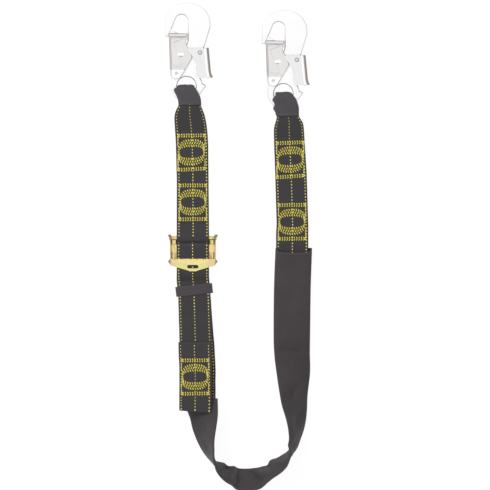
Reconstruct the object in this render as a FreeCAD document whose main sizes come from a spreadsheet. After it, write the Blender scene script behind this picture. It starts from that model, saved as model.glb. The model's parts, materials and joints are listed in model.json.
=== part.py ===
import FreeCAD, Part
import math
import os

import Sketcher
from FreeCAD import Placement, Rotation, Vector

# Shock absorbing lanyard, lying flat: +X to the right, +Y towards the snap hooks, +Z up from the
# table, millimetres. A hook's own frame has its origin at the centre of its eye, mid thickness.

SIZES = [
    # webbing and its soft covers
    ("webbing_width", 50.0, "width of the load webbing"),
    ("webbing_thick", 3.0, "thickness of one ply"),
    ("ply_gap", 0.3, "air between plies that aren't sewn together"),
    ("sleeve_side_ease", 2.3, "air beside the webbing in the sleeve"),
    ("sleeve_wall", 1.2, "fabric thickness of the sleeve"),
    ("sleeve_ease", 0.4, "air between the sleeve and the webbing"),
    ("sleeve_mouth_y", -4.0, "upper mouth of the sleeve, on the right leg"),
    ("guard_wall", 1.0, "fabric thickness of a loop guard"),
    ("guard_ease", 0.3, "air between a guard and its webbing"),
    ("left_guard_length", 31.7, "left guard, from its crest to its hem"),
    ("right_guard_length", 37.4, "right guard, from its crest to its hem"),
    ("loop_crest", 2.6, "crest of the loop above the eye's centre"),
    ("loop_play", 0.4, "air between a guard and the eye's faces"),
    ("sewn_from", 66.0, "where the plies meet, below the eye's centre"),
    # snap hooks
    ("left_eye_x", -80.2, "eye of the left hook"),
    ("left_eye_y", 247.5, "eye of the left hook"),
    ("right_eye_x", 69.8, "eye of the right hook"),
    ("right_eye_y", 236.2, "eye of the right hook"),
    ("forging_thick", 8.4, "thickness of the forged body"),
    ("forging_bevel", 1.5, "bevel round the forging's faces"),
    ("eye_radius", 14.4, "radius of the eye's hole"),
    ("eye_bar", 10.6, "width of the ring round the eye"),
    ("crown_y", 129.3, "top of the hook above the eye's centre"),
    ("crown_radius", 31.3, "outer radius at the nose side of the crown"),
    ("back_radius", 33.2, "outer radius at the back of the crown"),
    ("nose_x", -33.7, "outer side of the nose"),
    ("nose_y", 76.6, "lower end of the nose"),
    ("back_x", 37.2, "back of the hook"),
    ("throat_x", 1.9, "throat's side of the spine"),
    ("throat_top_y", 110.5, "top of the throat"),
    ("throat_radius", 9.5, "radius of the throat's top"),
    ("gate_rivet_x", -15.6, "gate pivot"),
    ("gate_rivet_y", 19.8, "gate pivot"),
    ("gate_boss_radius", 8.5, "forging round the gate pivot"),
    ("lever_rivet_x", 20.9, "lever pivot"),
    ("lever_rivet_y", 51.9, "lever pivot"),
    ("rivet_radius", 2.3, "shank of both rivets"),
    ("rivet_fit", 0.05, "radial running fit of the rivets"),
    ("rivet_head_radius", 3.6, "head of both rivets"),
    ("rivet_head_height", 1.0, "height of the rivet heads"),
    ("head_gap", 0.1, "air under a rivet head"),
    ("gate_sheet", 1.5, "sheet of the gate"),
    ("gate_side_play", 1.0, "air between the forging and the gate's cheeks"),
    ("gate_fold_radius", 2.4, "outer radius of the gate's folds"),
    ("lever_sheet", 1.5, "sheet of the lever"),
    ("lever_side_play", 0.3, "air between the gate's and the lever's cheeks"),
    ("lever_fold_radius", 3.6, "outer radius of the lever's folds"),
    ("spring_wire", 1.2, "wire of the torsion springs"),
    ("spring_air", 0.2, "air round the spring in its pocket"),
    ("spring_leg", 7.0, "length of the spring's leg"),
    # adjuster buckle
    ("buckle_x", -70.3, "middle of the adjuster"),
    ("frame_sheet", 2.0, "sheet of the adjuster frame"),
    ("frame_top_y", 17.6, "upper end of the side walls"),
    ("frame_low_y", -36.0, "lowest edge of the base plate"),
    ("wall_low_y", -27.5, "lower end of the side walls"),
    ("frame_strip", 7.0, "strip of the base plate along each side wall"),
    ("frame_bend", 2.4, "inner bend between the base plate and the side walls"),
    ("frame_floor", 0.5, "frame above the table"),
    ("base_top_y", 2.0, "upper edge of the base plate"),
    ("plate_top_y", -20.0, "upper edge of the front plate"),
    ("plate_tip_y", -39.3, "lowest edge of the front plate"),
    ("plate_nose", 7.5, "half width of the plates' flat lower tips"),
    ("plate_slot_length", 17.5, "slot in the front plate"),
    ("plate_slot_height", 5.4, "slot in the front plate"),
    ("wing_reach", 3.0, "flare of the frame's corners"),
    ("strap_play", 0.35, "air between the webbing and the adjuster"),
    ("top_bar_radius", 3.0, "fixed bar at the top of the adjuster"),
    ("top_bar_y", 12.2, "fixed bar at the top of the adjuster"),
    ("top_bar_floor", 0.3, "hook strap above the table under the bar"),
    ("bar_head_rim", 1.0, "riveted head of the fixed bar beyond its shank"),
    ("bar_head_height", 1.0, "riveted head of the fixed bar"),
    ("bar_taper", 24.0, "length over which the plies part towards the fixed bar"),
    ("slider_thick", 4.0, "sliding bar of the adjuster"),
    ("slider_height", 12.2, "sliding bar, along the webbing"),
    ("slider_top_y", 2.0, "upper edge of the sliding bar"),
    ("slider_travel", 6.0, "travel of the sliding bar"),
    ("slider_end_gap", 0.4, "air between the sliding bar and the side walls"),
    ("slider_block", 7.6, "thick knurled end of the sliding bar"),
    ("slider_block_extra", 0.9, "block's extra thickness on each face"),
    ("slider_side_play", 0.4, "air between the webbing and the blocks"),
    ("knurl_width", 1.0, "groove across a block"),
    ("knurl_depth", 0.6, "groove across a block"),
    ("tang_height", 6.0, "end of the sliding bar in the side wall's slot"),
    ("tang_thick", 3.0, "end of the sliding bar in the side wall's slot"),
    # keeper and tail
    ("keeper_x", -68.3, "middle of the keeper"),
    ("keeper_y", -68.2, "middle of the keeper"),
    ("keeper_length", 15.3, "keeper, along the webbing"),
    ("keeper_wall", 1.3, "thickness of the keeper band"),
    ("keeper_ease", 0.3, "air above and below the plies in the keeper"),
    ("keeper_side_ease", 2.6, "air beside the webbing in the keeper"),
    ("keeper_tilt", 6.1, "angle at which the keeper sits, degrees"),
    ("ramp_start_y", -104.0, "where the tail starts to rise"),
    ("tail_end_y", -257.0, "folded end of the tail"),
    ("tail_end_z", 30.2, "height of the tail's end on the twisted sleeve"),
    ("stop_fold_length", 108.0, "doubled and sewn end of the tail"),
    # absorber pack
    ("hook_strap_end_y", -46.0, "end of the right hook strap inside the sleeve"),
    ("pack_end_y", -140.0, "lower end of the tear webbing pack"),
    ("pack_overlap", 28.0, "tear webbing sewn over the hook strap"),
    ("pack_margin", 2.0, "tear webbing inside the load webbing's edges"),
    ("tack_margin", 3.0, "bar tacks inside the tear webbing's edges, and between them"),
    ("tear_thick", 2.5, "thickness of one tear webbing ply"),
    ("pack_step", 2.0, "air between the ends of two straps in the pack"),
    # stitching
    ("thread_thick", 0.5, "height of the stitching on the webbing"),
    ("pattern_margin", 3.35, "stitch pattern inside the webbing's edges"),
    ("pattern_bar", 7.3, "height of a pattern's bars"),
    ("pattern_gap", 1.7, "space between a bar and the oval"),
    ("oval_height", 41.0, "outer height of the oval"),
    ("oval_side", 4.45, "width of the oval's two sides"),
    ("oval_inner_height", 14.5, "opening of the oval"),
    ("left_upper_pattern", 102.7, "pattern's middle below the left eye"),
    ("left_lower_pattern", 180.0, "pattern's middle below the left eye"),
    ("right_upper_pattern", 102.6, "pattern's middle below the right eye"),
    ("right_lower_pattern", 199.0, "pattern's middle below the right eye"),
    ("tail_pattern", 54.0, "pattern's middle above the tail's end"),
]

doc = FreeCAD.newDocument("lanyard")
sheet = doc.addObject("Spreadsheet::Sheet", "Sizes")
for row, (alias, size, note) in enumerate(SIZES, start=1):
    sheet.set(f"A{row}", alias)
    sheet.set(f"B{row}", str(size))
    sheet.set(f"C{row}", note)
    sheet.setAlias(f"B{row}", alias)
doc.recompute()


def size(formula):
    """A driving size, or one worked out from several, in millimetres or degrees."""
    return float(sheet.evalExpression(formula))


nodes = []


# ---------------------------------------------------------------- building blocks


def new_body(label):
    body = doc.addObject("PartDesign::Body", label)
    body.Label = label
    return body


def new_sketch(body, plane, offset=0.0):
    """A sketch on one of the body's own origin planes, lifted along its normal."""
    sketch = body.newObject("Sketcher::SketchObject", f"{body.Name}_sketch")
    origin_plane = next(f for f in body.Origin.OriginFeatures if f.Role == plane)
    sketch.AttachmentSupport = (origin_plane, [""])
    sketch.MapMode = "FlatFace"
    sketch.AttachmentOffset = Placement(Vector(0, 0, offset), Rotation())
    return sketch


def draw(sketch, start, steps):
    """A closed outline. A step of two numbers is a line's end, one of four an arc's middle and end."""
    first = sketch.GeometryCount
    here = Vector(*start, 0)
    for step in steps + [start]:
        there = Vector(*step[-2:], 0)
        if (there - here).Length > 1e-6:
            if len(step) == 2:
                sketch.addGeometry(Part.LineSegment(here, there))
            else:
                sketch.addGeometry(Part.Arc(here, Vector(*step[:2], 0), there))
        here = there
    last = sketch.GeometryCount - 1
    for index in range(first, last):
        sketch.addConstraint(join_of(sketch, index, index + 1))
    sketch.addConstraint(join_of(sketch, last, first))


def join_of(sketch, one, other):
    """The coincidence of two neighbours, whichever way round an arc is stored."""
    ends = [(a, b) for a in (1, 2) for b in (1, 2)]

    def distance(pair):
        return (sketch.getPoint(one, pair[0]) - sketch.getPoint(other, pair[1])).Length

    end, start = min(ends, key=distance)
    return Sketcher.Constraint("Coincident", one, end, other, start)


def circle(sketch, x, y, formula):
    """A circle whose radius is bound to the sheet."""
    radius = size(formula)
    index = sketch.addGeometry(Part.Circle(Vector(x, y, 0), Vector(0, 0, 1), radius))
    constraint = sketch.addConstraint(Sketcher.Constraint("Radius", index, radius))
    sketch.setExpression(f"Constraints[{constraint}]", formula)


def box_outline(x_low, y_low, x_high, y_high):
    return (x_low, y_low), [(x_high, y_low), (x_high, y_high), (x_low, y_high)]


def pad(body, sketch, length, symmetric=True, name="Pad"):
    feature = body.newObject(f"PartDesign::{name}", f"{body.Name}_{name.lower()}")
    feature.Profile = sketch
    feature.setExpression("Length", length)
    if symmetric:
        feature.SideType = "Symmetric"
    doc.recompute()
    return feature


def pocket(body, sketch, length, symmetric=True):
    """A cut that has to take something away."""
    before = body.Shape.Volume
    feature = pad(body, sketch, length, symmetric, name="Pocket")
    if not symmetric and body.Shape.Volume > before - 1e-6:
        feature.Reversed = True
        doc.recompute()
    if body.Shape.Volume > before - 1e-6:
        raise RuntimeError(f"{body.Label}: a pocket cut nothing")
    return feature


def edge_feature(body, kind, amount, chosen):
    """Rounds or bevels the edges of the body's last feature that chosen(edge) picks."""
    base = body.Tip
    names = [f"Edge{i}" for i, edge in enumerate(base.Shape.Edges, 1) if chosen(edge)]
    feature = body.newObject(f"PartDesign::{kind}", f"{body.Name}_{kind.lower()}")
    feature.Base = (base, names)
    feature.setExpression("Radius" if kind == "Fillet" else "Size", amount)
    doc.recompute()
    return feature


def keep(part, x=0.0, y=0.0, z=0.0, turn=0.0):
    """Puts a finished sub-part in its place and lists it as a node."""
    part.Placement = Placement(Vector(x, y, z), Rotation(Vector(0, 0, 1), turn))
    nodes.append(part)
    return part


def strip(body, profile, holes, outline, width):
    """A strap: its side profile, in Y and Z, swept across X and trimmed to its plan outline."""
    sketch = new_sketch(body, "YZ_Plane")
    draw(sketch, *profile)
    for hole in holes:
        draw(sketch, *hole)
    pad(body, sketch, str(2 * width))
    trim = new_sketch(body, "XY_Plane")
    reach = 4 * width
    low = min(point[1] for point in outline) - reach
    high = max(point[1] for point in outline) + reach
    draw(trim, *box_outline(-reach, low, reach, high))
    draw(trim, outline[0], outline[1:])
    pocket(body, trim, str(2 * reach))


# ---------------------------------------------------------------- sizes worked out from the sheet

HALF_FORGING = size("forging_thick") / 2
GATE_INNER = HALF_FORGING + size("gate_side_play")
GATE_OUTER = GATE_INNER + size("gate_sheet")
LEVER_INNER = GATE_OUTER + size("lever_side_play")
LEVER_OUTER = LEVER_INNER + size("lever_sheet")
EYE_RING = "Sizes.eye_radius + Sizes.eye_bar"
EYE_OUTER = size(EYE_RING)
RIVET_HOLE = "Sizes.rivet_radius + Sizes.rivet_fit"
SPRING_COIL = RIVET_HOLE + " + Sizes.spring_air + Sizes.spring_wire / 2"
SPRING_POCKET = RIVET_HOLE + " + 2 * Sizes.spring_air + Sizes.spring_wire"

GUARD_SKIN = size("guard_wall") + size("guard_ease")
GUARD_INNER = HALF_FORGING + size("loop_play")
LOOP_INNER = GUARD_INNER + GUARD_SKIN
LOOP_OUTER = LOOP_INNER + size("webbing_thick")
GUARD_OUTER = LOOP_OUTER + GUARD_SKIN
HOOK_Z = GUARD_OUTER

PLY = size("webbing_thick")
HALF_WEBBING = size("webbing_width") / 2
SLEEVE_HALF = HALF_WEBBING + size("sleeve_side_ease") + size("sleeve_wall")
FRAME_WIDTH = (
    "Sizes.webbing_width"
    " + 2 * (Sizes.slider_side_play + Sizes.slider_block + Sizes.slider_end_gap + Sizes.frame_sheet)"
)
PACK_WIDTH = "Sizes.webbing_width - 2 * Sizes.pack_margin"
STRAP_LOW = size("sleeve_wall") + size("sleeve_ease")
STRAP_TOP = STRAP_LOW + PLY
DOUBLE_TOP = STRAP_TOP + PLY
TAIL_LOW = STRAP_TOP + size("ply_gap")

HOOKS = {
    "left": (size("left_eye_x"), size("left_eye_y")),
    "right": (size("right_eye_x"), size("right_eye_y")),
}


# ---------------------------------------------------------------- snap hooks


def polar(x, y, radius, degrees):
    angle = math.radians(degrees)
    return x + radius * math.cos(angle), y + radius * math.sin(angle)


def forging_outline():
    """The hook without its eye: nose, crown, back, spine and the boss of the gate pivot."""
    nose_x = size("nose_x")
    nose_y = size("nose_y")
    crown = size("crown_y")
    nose_round = (nose_x + size("crown_radius"), crown - size("crown_radius"))
    back_round = (size("back_x") - size("back_radius"), crown - size("back_radius"))
    throat = (size("throat_x") - size("throat_radius"), size("throat_top_y") - size("throat_radius"))
    boss = (size("gate_rivet_x"), size("gate_rivet_y"))
    start = (nose_x, nose_y)
    steps = [
        (nose_x, nose_round[1]),
        polar(*nose_round, size("crown_radius"), 135) + (nose_round[0], crown),
        (back_round[0], crown),
        polar(*back_round, size("back_radius"), 45) + (size("back_x"), back_round[1]),
        (size("back_x"), nose_y + 14.4),
        (27.6, size("lever_rivet_y") + 7.7),
        (22.6, size("lever_rivet_y") - 6.9),
        (21.5, 11.5),
        (22.0, 6.0),
        (30.8, 0.5),
        polar(0, 0, EYE_OUTER - 0.6, -31),
        polar(0, 0, EYE_OUTER - 0.6, -90),
        polar(0, 0, EYE_OUTER - 0.6, -149),
        (boss[0] - size("gate_boss_radius"), 3.0),
        (boss[0] - size("gate_boss_radius"), boss[1]),
        polar(*boss, size("gate_boss_radius"), 150) + polar(*boss, size("gate_boss_radius"), 120),
        (-8.0, 45.0),
        (size("throat_x"), 70.0),
        (size("throat_x"), throat[1]),
        polar(*throat, size("throat_radius"), 75) + polar(*throat, size("throat_radius"), 160),
        (nose_x + 10.9, nose_y + 12.3),
        (nose_x + 6.7, nose_y),
    ]
    return start, steps


def spring_leg_x(pivot):
    """A torsion spring's leg hangs from the left side of its coil."""
    return size(f"{pivot}_rivet_x") - size(SPRING_COIL)


def hook_body(side):
    body = new_body(f"{side}_hook_body")
    sketch = new_sketch(body, "XY_Plane")
    draw(sketch, *forging_outline())
    pad(body, sketch, "Sizes.forging_thick")
    sketch = new_sketch(body, "XY_Plane")
    circle(sketch, 0, 0, EYE_RING)
    pad(body, sketch, "Sizes.forging_thick")
    sketch = new_sketch(body, "XY_Plane")
    circle(sketch, 0, 0, "Sizes.eye_radius")
    pocket(body, sketch, "Sizes.forging_thick * 2")
    edge_feature(
        body,
        "Chamfer",
        "Sizes.forging_bevel",
        lambda edge: abs(edge.BoundBox.ZMin) > HALF_FORGING - 0.01 and edge.BoundBox.ZLength < 0.01,
    )
    groove = size("spring_wire") / 2 + size("spring_air")
    for pivot in ("gate", "lever"):
        x = size(f"{pivot}_rivet_x")
        y = size(f"{pivot}_rivet_y")
        sketch = new_sketch(body, "XY_Plane")
        circle(sketch, x, y, RIVET_HOLE)
        pocket(body, sketch, "Sizes.forging_thick * 2")
        sketch = new_sketch(body, "XY_Plane", HALF_FORGING)
        circle(sketch, x, y, SPRING_POCKET)
        pocket(body, sketch, "Sizes.spring_wire + 2 * Sizes.spring_air", symmetric=False)
        leg_x = spring_leg_x(pivot)
        leg_low = y - size("spring_leg") - groove
        sketch = new_sketch(body, "XY_Plane", HALF_FORGING)
        draw(sketch, *box_outline(leg_x - groove, leg_low, leg_x + groove, y))
        pocket(body, sketch, "Sizes.spring_wire + 2 * Sizes.spring_air", symmetric=False)
    return keep(body, *HOOKS[side], HOOK_Z)


def gate_outline():
    """The gate's cheek: rounded foot about its pivot, slanted flank, notch and beak."""
    x = size("gate_rivet_x")
    y = size("gate_rivet_y")
    foot = size("gate_boss_radius") + 0.5
    beak = size("nose_y")
    start = (x - 9.9, y + 4.2)
    steps = [
        polar(x, y, foot, 250) + polar(x, y, foot, 320),
        (x + 24.4, y + 23.8),
        (x + 24.4, y + 26.6),
        (x + 17.1, y + 38.2),
        (x + 13.3, y + 38.2),
        (x + 13.3, y + 51.2),
        (x + 17.1, y + 51.2),
        (x + 17.1, beak + 5.1),
        (x + 2.3, beak + 5.6),
        (x - 8.9, beak + 12.3),
        (x - 11.8, beak + 1.4),
    ]
    return start, steps


def gate(side):
    body = new_body(f"{side}_gate")
    x = size("gate_rivet_x")
    y = size("gate_rivet_y")
    sketch = new_sketch(body, "XY_Plane")
    draw(sketch, *gate_outline())
    pad(body, sketch, str(2 * GATE_OUTER))
    fold = [(x - 9.9, y + 4.2), (x - 11.8, size("nose_y") + 1.4)]
    edge_feature(
        body,
        "Fillet",
        "Sizes.gate_fold_radius",
        lambda edge: long_edge_between(edge, fold, GATE_OUTER),
    )
    web = size("gate_sheet")
    sketch = new_sketch(body, "XY_Plane")
    far = x + 60
    start = (x - 60, y - 30)
    steps = [
        (far, y - 30),
        (far, y + 120),
        (x - 60, y + 120),
        (x - 60, size("nose_y") - 1.1),
        (x - 11.8 + web, size("nose_y") - 1.1),
        (x - 9.9 + web, y + 4.2),
        (x - 60, y + 4.2),
    ]
    draw(sketch, start, steps)
    pocket(body, sketch, str(2 * GATE_INNER))
    sketch = new_sketch(body, "XY_Plane")
    circle(sketch, x, y, RIVET_HOLE)
    pocket(body, sketch, str(4 * GATE_OUTER))
    sketch = new_sketch(body, "XY_Plane", GATE_OUTER)
    draw(sketch, *box_outline(x + 1.1, y + 26.5, x + 12.1, y + 31.1))
    pocket(body, sketch, "Sizes.gate_sheet * 2", symmetric=False)
    sketch = new_sketch(body, "XY_Plane", GATE_OUTER)
    pressed_low = y + 9.5
    draw(
        sketch,
        (x - 7.4, pressed_low + 4),
        [
            (x, pressed_low - 2, x + 6.5, pressed_low + 2),
            (x + 20.5, y + 26.5),
            (x + 13.8, y + 36.0),
            (x + 10.5, y + 38.2),
            (x + 10.5, y + 53.0),
            (x - 9.0, y + 53.0),
        ],
    )
    pocket(body, sketch, "Sizes.gate_sheet / 4", symmetric=False)
    return keep(body, *HOOKS[side], HOOK_Z)


def long_edge_between(edge, ends, height):
    """Whether an edge runs between two plan points on a face at this height, up or down."""
    if len(edge.Vertexes) != 2:
        return False
    found = [(v.Point.x, v.Point.y) for v in edge.Vertexes]
    level = all(abs(abs(v.Point.z) - height) < 0.01 for v in edge.Vertexes)
    matches = all(any(math.dist(a, b) < 0.01 for b in found) for a in ends)
    return level and matches


def lever_outline():
    """The lever's cheek, with the thumb strip's fold down its right side."""
    x = size("lever_rivet_x")
    y = size("lever_rivet_y")
    start = (x - 19.4, y + 6.3)
    steps = [
        (x - 19.4, y + 3.0),
        (x - 11.6, y - 6.1),
        (x - 4.5, y - 16.1),
        (x - 4.5, y - 34.0),
        (x - 3.2, y - 38.0, x, y - 39.8),
        (x + 18.7, y - 38.7),
        (x + 16.6, y - 30.0),
        (x + 13.3, y + 7.7),
        (x + 6.7, y + 7.0),
    ]
    return start, steps


def lock_lever(side):
    body = new_body(f"{side}_lock_lever")
    x = size("lever_rivet_x")
    y = size("lever_rivet_y")
    sketch = new_sketch(body, "XY_Plane")
    draw(sketch, *lever_outline())
    pad(body, sketch, str(2 * LEVER_OUTER))
    folds = [[(x + 13.3, y + 7.7), (x + 16.6, y - 30.0)], [(x + 16.6, y - 30.0), (x + 18.7, y - 38.7)]]
    edge_feature(
        body,
        "Fillet",
        "Sizes.lever_fold_radius",
        lambda edge: any(long_edge_between(edge, fold, LEVER_OUTER) for fold in folds),
    )
    web = size("lever_sheet")
    sketch = new_sketch(body, "XY_Plane")
    start = (x - 60, y - 60)
    steps = [
        (x + 18.7 + 5.2 - web, y - 60),
        (x + 18.7 - web, y - 38.7),
        (x + 16.6 - web, y - 30.0),
        (x + 13.3 - web, y + 7.7),
        (x + 12.3 - web, y + 20),
        (x - 60, y + 20),
    ]
    draw(sketch, start, steps)
    pocket(body, sketch, str(2 * LEVER_INNER))
    sketch = new_sketch(body, "XY_Plane")
    circle(sketch, x, y, RIVET_HOLE)
    pocket(body, sketch, str(4 * LEVER_OUTER))
    return keep(body, *HOOKS[side], HOOK_Z)


def rivet(side, pivot, cheek):
    """A shank through the forging and both cheeks, with a domed head at each end."""
    name = f"{side}_{pivot}_rivet"
    x = size(f"{pivot}_rivet_x")
    y = size(f"{pivot}_rivet_y")
    under_head = cheek + size("head_gap")
    shank = doc.addObject("Part::Cylinder", f"{name}_shank")
    shank.setExpression("Radius", "Sizes.rivet_radius")
    shank.Height = 2 * under_head
    shank.Placement.Base = Vector(x, y, -under_head)
    heads = []
    for sign in (1, -1):
        head = doc.addObject("Part::Cone", f"{name}_head")
        head.setExpression("Radius1", "Sizes.rivet_head_radius")
        head.setExpression("Radius2", "Sizes.rivet_head_radius * 0.6")
        head.setExpression("Height", "Sizes.rivet_head_height")
        flip = Rotation(Vector(1, 0, 0), 0 if sign > 0 else 180)
        head.Placement = Placement(Vector(x, y, sign * under_head), flip)
        heads.append(head)
    whole = doc.addObject("Part::MultiFuse", name)
    whole.Shapes = [shank] + heads
    whole.Label = name
    doc.recompute()
    return keep(whole, *HOOKS[side], HOOK_Z)


def torsion_spring(side, pivot):
    """One flat coil about the rivet in its pocket, with a straight leg in the groove."""
    name = f"{side}_{pivot}_spring"
    x = size(f"{pivot}_rivet_x")
    y = size(f"{pivot}_rivet_y")
    level = HALF_FORGING - size("spring_air") - size("spring_wire") / 2
    coil = doc.addObject("Part::Torus", f"{name}_coil")
    coil.setExpression("Radius1", SPRING_COIL)
    coil.setExpression("Radius2", "Sizes.spring_wire / 2")
    coil.Placement.Base = Vector(x, y, level)
    leg = doc.addObject("Part::Cylinder", f"{name}_leg")
    leg.setExpression("Radius", "Sizes.spring_wire / 2")
    leg.setExpression("Height", "Sizes.spring_leg")
    leg.Placement = Placement(Vector(spring_leg_x(pivot), y, level), Rotation(Vector(1, 0, 0), 90))
    whole = doc.addObject("Part::Fuse", name)
    whole.Base = coil
    whole.Tool = leg
    whole.Label = name
    doc.recompute()
    return keep(whole, *HOOKS[side], HOOK_Z)


for hook_side in HOOKS:
    hook_body(hook_side)
    gate(hook_side)
    lock_lever(hook_side)
    rivet(hook_side, "gate", GATE_OUTER)
    rivet(hook_side, "lever", LEVER_OUTER)
    torsion_spring(hook_side, "gate")
    torsion_spring(hook_side, "lever")


# ---------------------------------------------------------------- straps round the eyes


def loop_profile(eye_y, radius, hem, two_ply_top, low, end):
    """Side view of a strap's outer face round the eye, as far down as end, where it is cut off."""
    centre = eye_y + size("loop_crest") - GUARD_OUTER
    z = HOOK_Z
    sewn = eye_y - size("sewn_from")
    start = (centre, z - radius)
    steps = [
        (centre + radius, z, centre, z + radius),
        (hem, z + radius),
        (sewn, two_ply_top),
        (end, two_ply_top),
        (end, low),
        (sewn, low),
        (hem, z - radius),
    ]
    return start, steps


def loop_cavity(eye_y, radius, hem):
    """The space between a strap's two plies, from the eye to where they meet."""
    centre = eye_y + size("loop_crest") - GUARD_OUTER
    z = HOOK_Z
    start = (centre, z - radius)
    steps = [
        (centre + radius, z, centre, z + radius),
        (hem, z + radius),
        (eye_y - size("sewn_from"), STRAP_TOP),
        (hem, z - radius),
    ]
    return start, steps


# Plan outlines of the two guards, each from its crest to its hem, as left and right sides.
GUARD_SIDES = {
    "left": (
        [(-12.6, -6.5), (-15.5, -9.5), (-13.5, -15.0), (-11.3, -24.5)],
        [(12.3, -6.5), (20.7, -17.8), (21.6, -24.5)],
    ),
    "right": (
        [(-12.6, -6.5), (-15.2, -11.1), (-12.7, -18.1), (-14.2, -24.9)],
        [(12.3, -6.5), (20.0, -12.1), (22.9, -21.1)],
    ),
}
HEM_ENDS = {"left": (-11.3, 21.8), "right": (-9.8, 22.9)}


def guard_outline(side, inset, hem_y):
    """Closed plan outline of a guard, drawn in by inset, in the eye's frame."""
    left, right = GUARD_SIDES[side]
    crest = size("loop_crest") + 1
    hem_left, hem_right = HEM_ENDS[side]
    points = [(left[0][0] + inset, crest)]
    points += [(x + inset, y) for x, y in left]
    points += [(hem_left + inset, hem_y), (hem_right - inset, hem_y)]
    points += [(x - inset, y) for x, y in reversed(right)]
    points += [(right[0][0] - inset, crest)]
    return points


def hem_of(side):
    """Lower end of a guard, in the eye's frame."""
    return size("loop_crest") - size(f"{side}_guard_length")


def strap_middles(side):
    """The line that a hook strap's middle follows from its guard to its lower end."""
    eye_x, eye_y = HOOKS[side]
    foot_x = size("buckle_x") if side == "left" else ROUTE[0][0]
    lean = foot_x - eye_x
    shares = {"left": (0.53, 0.83, 1.0), "right": (0.6, 0.86, 1.0)}[side]
    drops = {"left": (50, 90, 145), "right": (54, 126, 204)}[side]
    return [(eye_x + share * lean, eye_y - drop) for share, drop in zip(shares, drops)]


def middle_at(centres, y):
    """Where a strap's middle line passes y."""
    for (x1, y1), (x2, y2) in zip(centres, centres[1:]):
        if y1 >= y >= y2:
            return x1 + (x2 - x1) * (y1 - y) / (y1 - y2)
    return centres[-1][0]


def strap_outline(side, centres, end_y):
    """Plan outline of a hook strap: gathered through the guard, then at full width along centres."""
    eye_x, eye_y = HOOKS[side]
    inset = guard_outline(side, GUARD_SKIN, hem_of(side))
    split = len(GUARD_SIDES[side][0]) + 2
    left_side = [(eye_x + x, eye_y + y) for x, y in inset[:split]]
    right_side = [(eye_x + x, eye_y + y) for x, y in inset[split:]]
    down = [(x - HALF_WEBBING, y) for x, y in centres] + [(centres[-1][0] - HALF_WEBBING, end_y)]
    up = [(centres[-1][0] + HALF_WEBBING, end_y)] + [(x + HALF_WEBBING, y) for x, y in reversed(centres)]
    return left_side + down + up + right_side


def loop_guard(side):
    """A fabric tube round the strap where it bears on the eye."""
    eye_x, eye_y = HOOKS[side]
    hem = hem_of(side)
    tubes = []
    for layer, outer, inner, inset in (
        ("skin", GUARD_OUTER, GUARD_INNER, 0.0),
        ("core", LOOP_OUTER + size("guard_ease"), LOOP_INNER - size("guard_ease"), size("guard_wall")),
    ):
        body = new_body(f"{side}_loop_guard_{layer}")
        centre = size("loop_crest") - GUARD_OUTER
        low = hem - (1.0 if layer == "core" else 0.0)
        outline = (
            (centre, -outer),
            [(centre + outer, 0, centre, outer), (low, outer), (low, inner), (centre, inner)]
            + [(centre + inner, 0, centre, -inner), (low, -inner), (low, -outer)],
        )
        width = size("webbing_width")
        strip(body, outline, [], guard_outline(side, inset, low), width)
        tubes.append(body)
    guard = doc.addObject("Part::Cut", f"{side}_loop_guard")
    guard.Base = tubes[0]
    guard.Tool = tubes[1]
    guard.Label = f"{side}_loop_guard"
    doc.recompute()
    return keep(guard, eye_x, eye_y, HOOK_Z)


def left_hook_strap():
    """Endless doubled strap between the left eye and the adjuster's fixed bar."""
    eye_x, eye_y = HOOKS["left"]
    hem = eye_y + hem_of("left")
    bar_inner = size("top_bar_radius") + size("strap_play")
    bar_outer = bar_inner + PLY
    bar_y = size("top_bar_y")
    bar_z = size("top_bar_floor") + bar_outer
    meet = bar_y + size("bar_taper")
    start, steps = loop_profile(eye_y, LOOP_OUTER, hem, DOUBLE_TOP, STRAP_LOW, meet)
    at_bar = [
        (meet, DOUBLE_TOP),
        (bar_y + 4, bar_z + bar_outer),
        (bar_y, bar_z + bar_outer),
        (bar_y - bar_outer, bar_z, bar_y, bar_z - bar_outer),
        (bar_y + 4, bar_z - bar_outer),
        (meet, STRAP_LOW),
    ]
    steps = steps[:3] + at_bar + steps[5:]
    bar_cavity = (
        (bar_y, bar_z - bar_inner),
        [
            (bar_y + 4, bar_z - bar_inner),
            (meet, STRAP_TOP),
            (bar_y + 4, bar_z + bar_inner),
            (bar_y, bar_z + bar_inner),
            (bar_y - bar_inner, bar_z, bar_y, bar_z - bar_inner),
        ],
    )
    outline = strap_outline("left", strap_middles("left"), bar_y - bar_outer - 2)
    body = new_body("left_hook_strap")
    holes = [loop_cavity(eye_y, LOOP_INNER, hem), bar_cavity]
    strip(body, (start, steps), holes, outline, 2 * abs(eye_x))
    return keep(body)


def right_hook_strap():
    """Doubled strap from the right eye into the sleeve, where the tear webbing is sewn on."""
    eye_x, eye_y = HOOKS["right"]
    hem = eye_y + hem_of("right")
    end = size("hook_strap_end_y")
    profile = loop_profile(eye_y, LOOP_OUTER, hem, DOUBLE_TOP, STRAP_LOW, end)
    outline = strap_outline("right", strap_middles("right"), end - 2)
    body = new_body("right_hook_strap")
    strip(body, profile, [loop_cavity(eye_y, LOOP_INNER, hem)], outline, 2 * abs(eye_x))
    return keep(body)


# ---------------------------------------------------------------- the long strap and its sleeve

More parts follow.
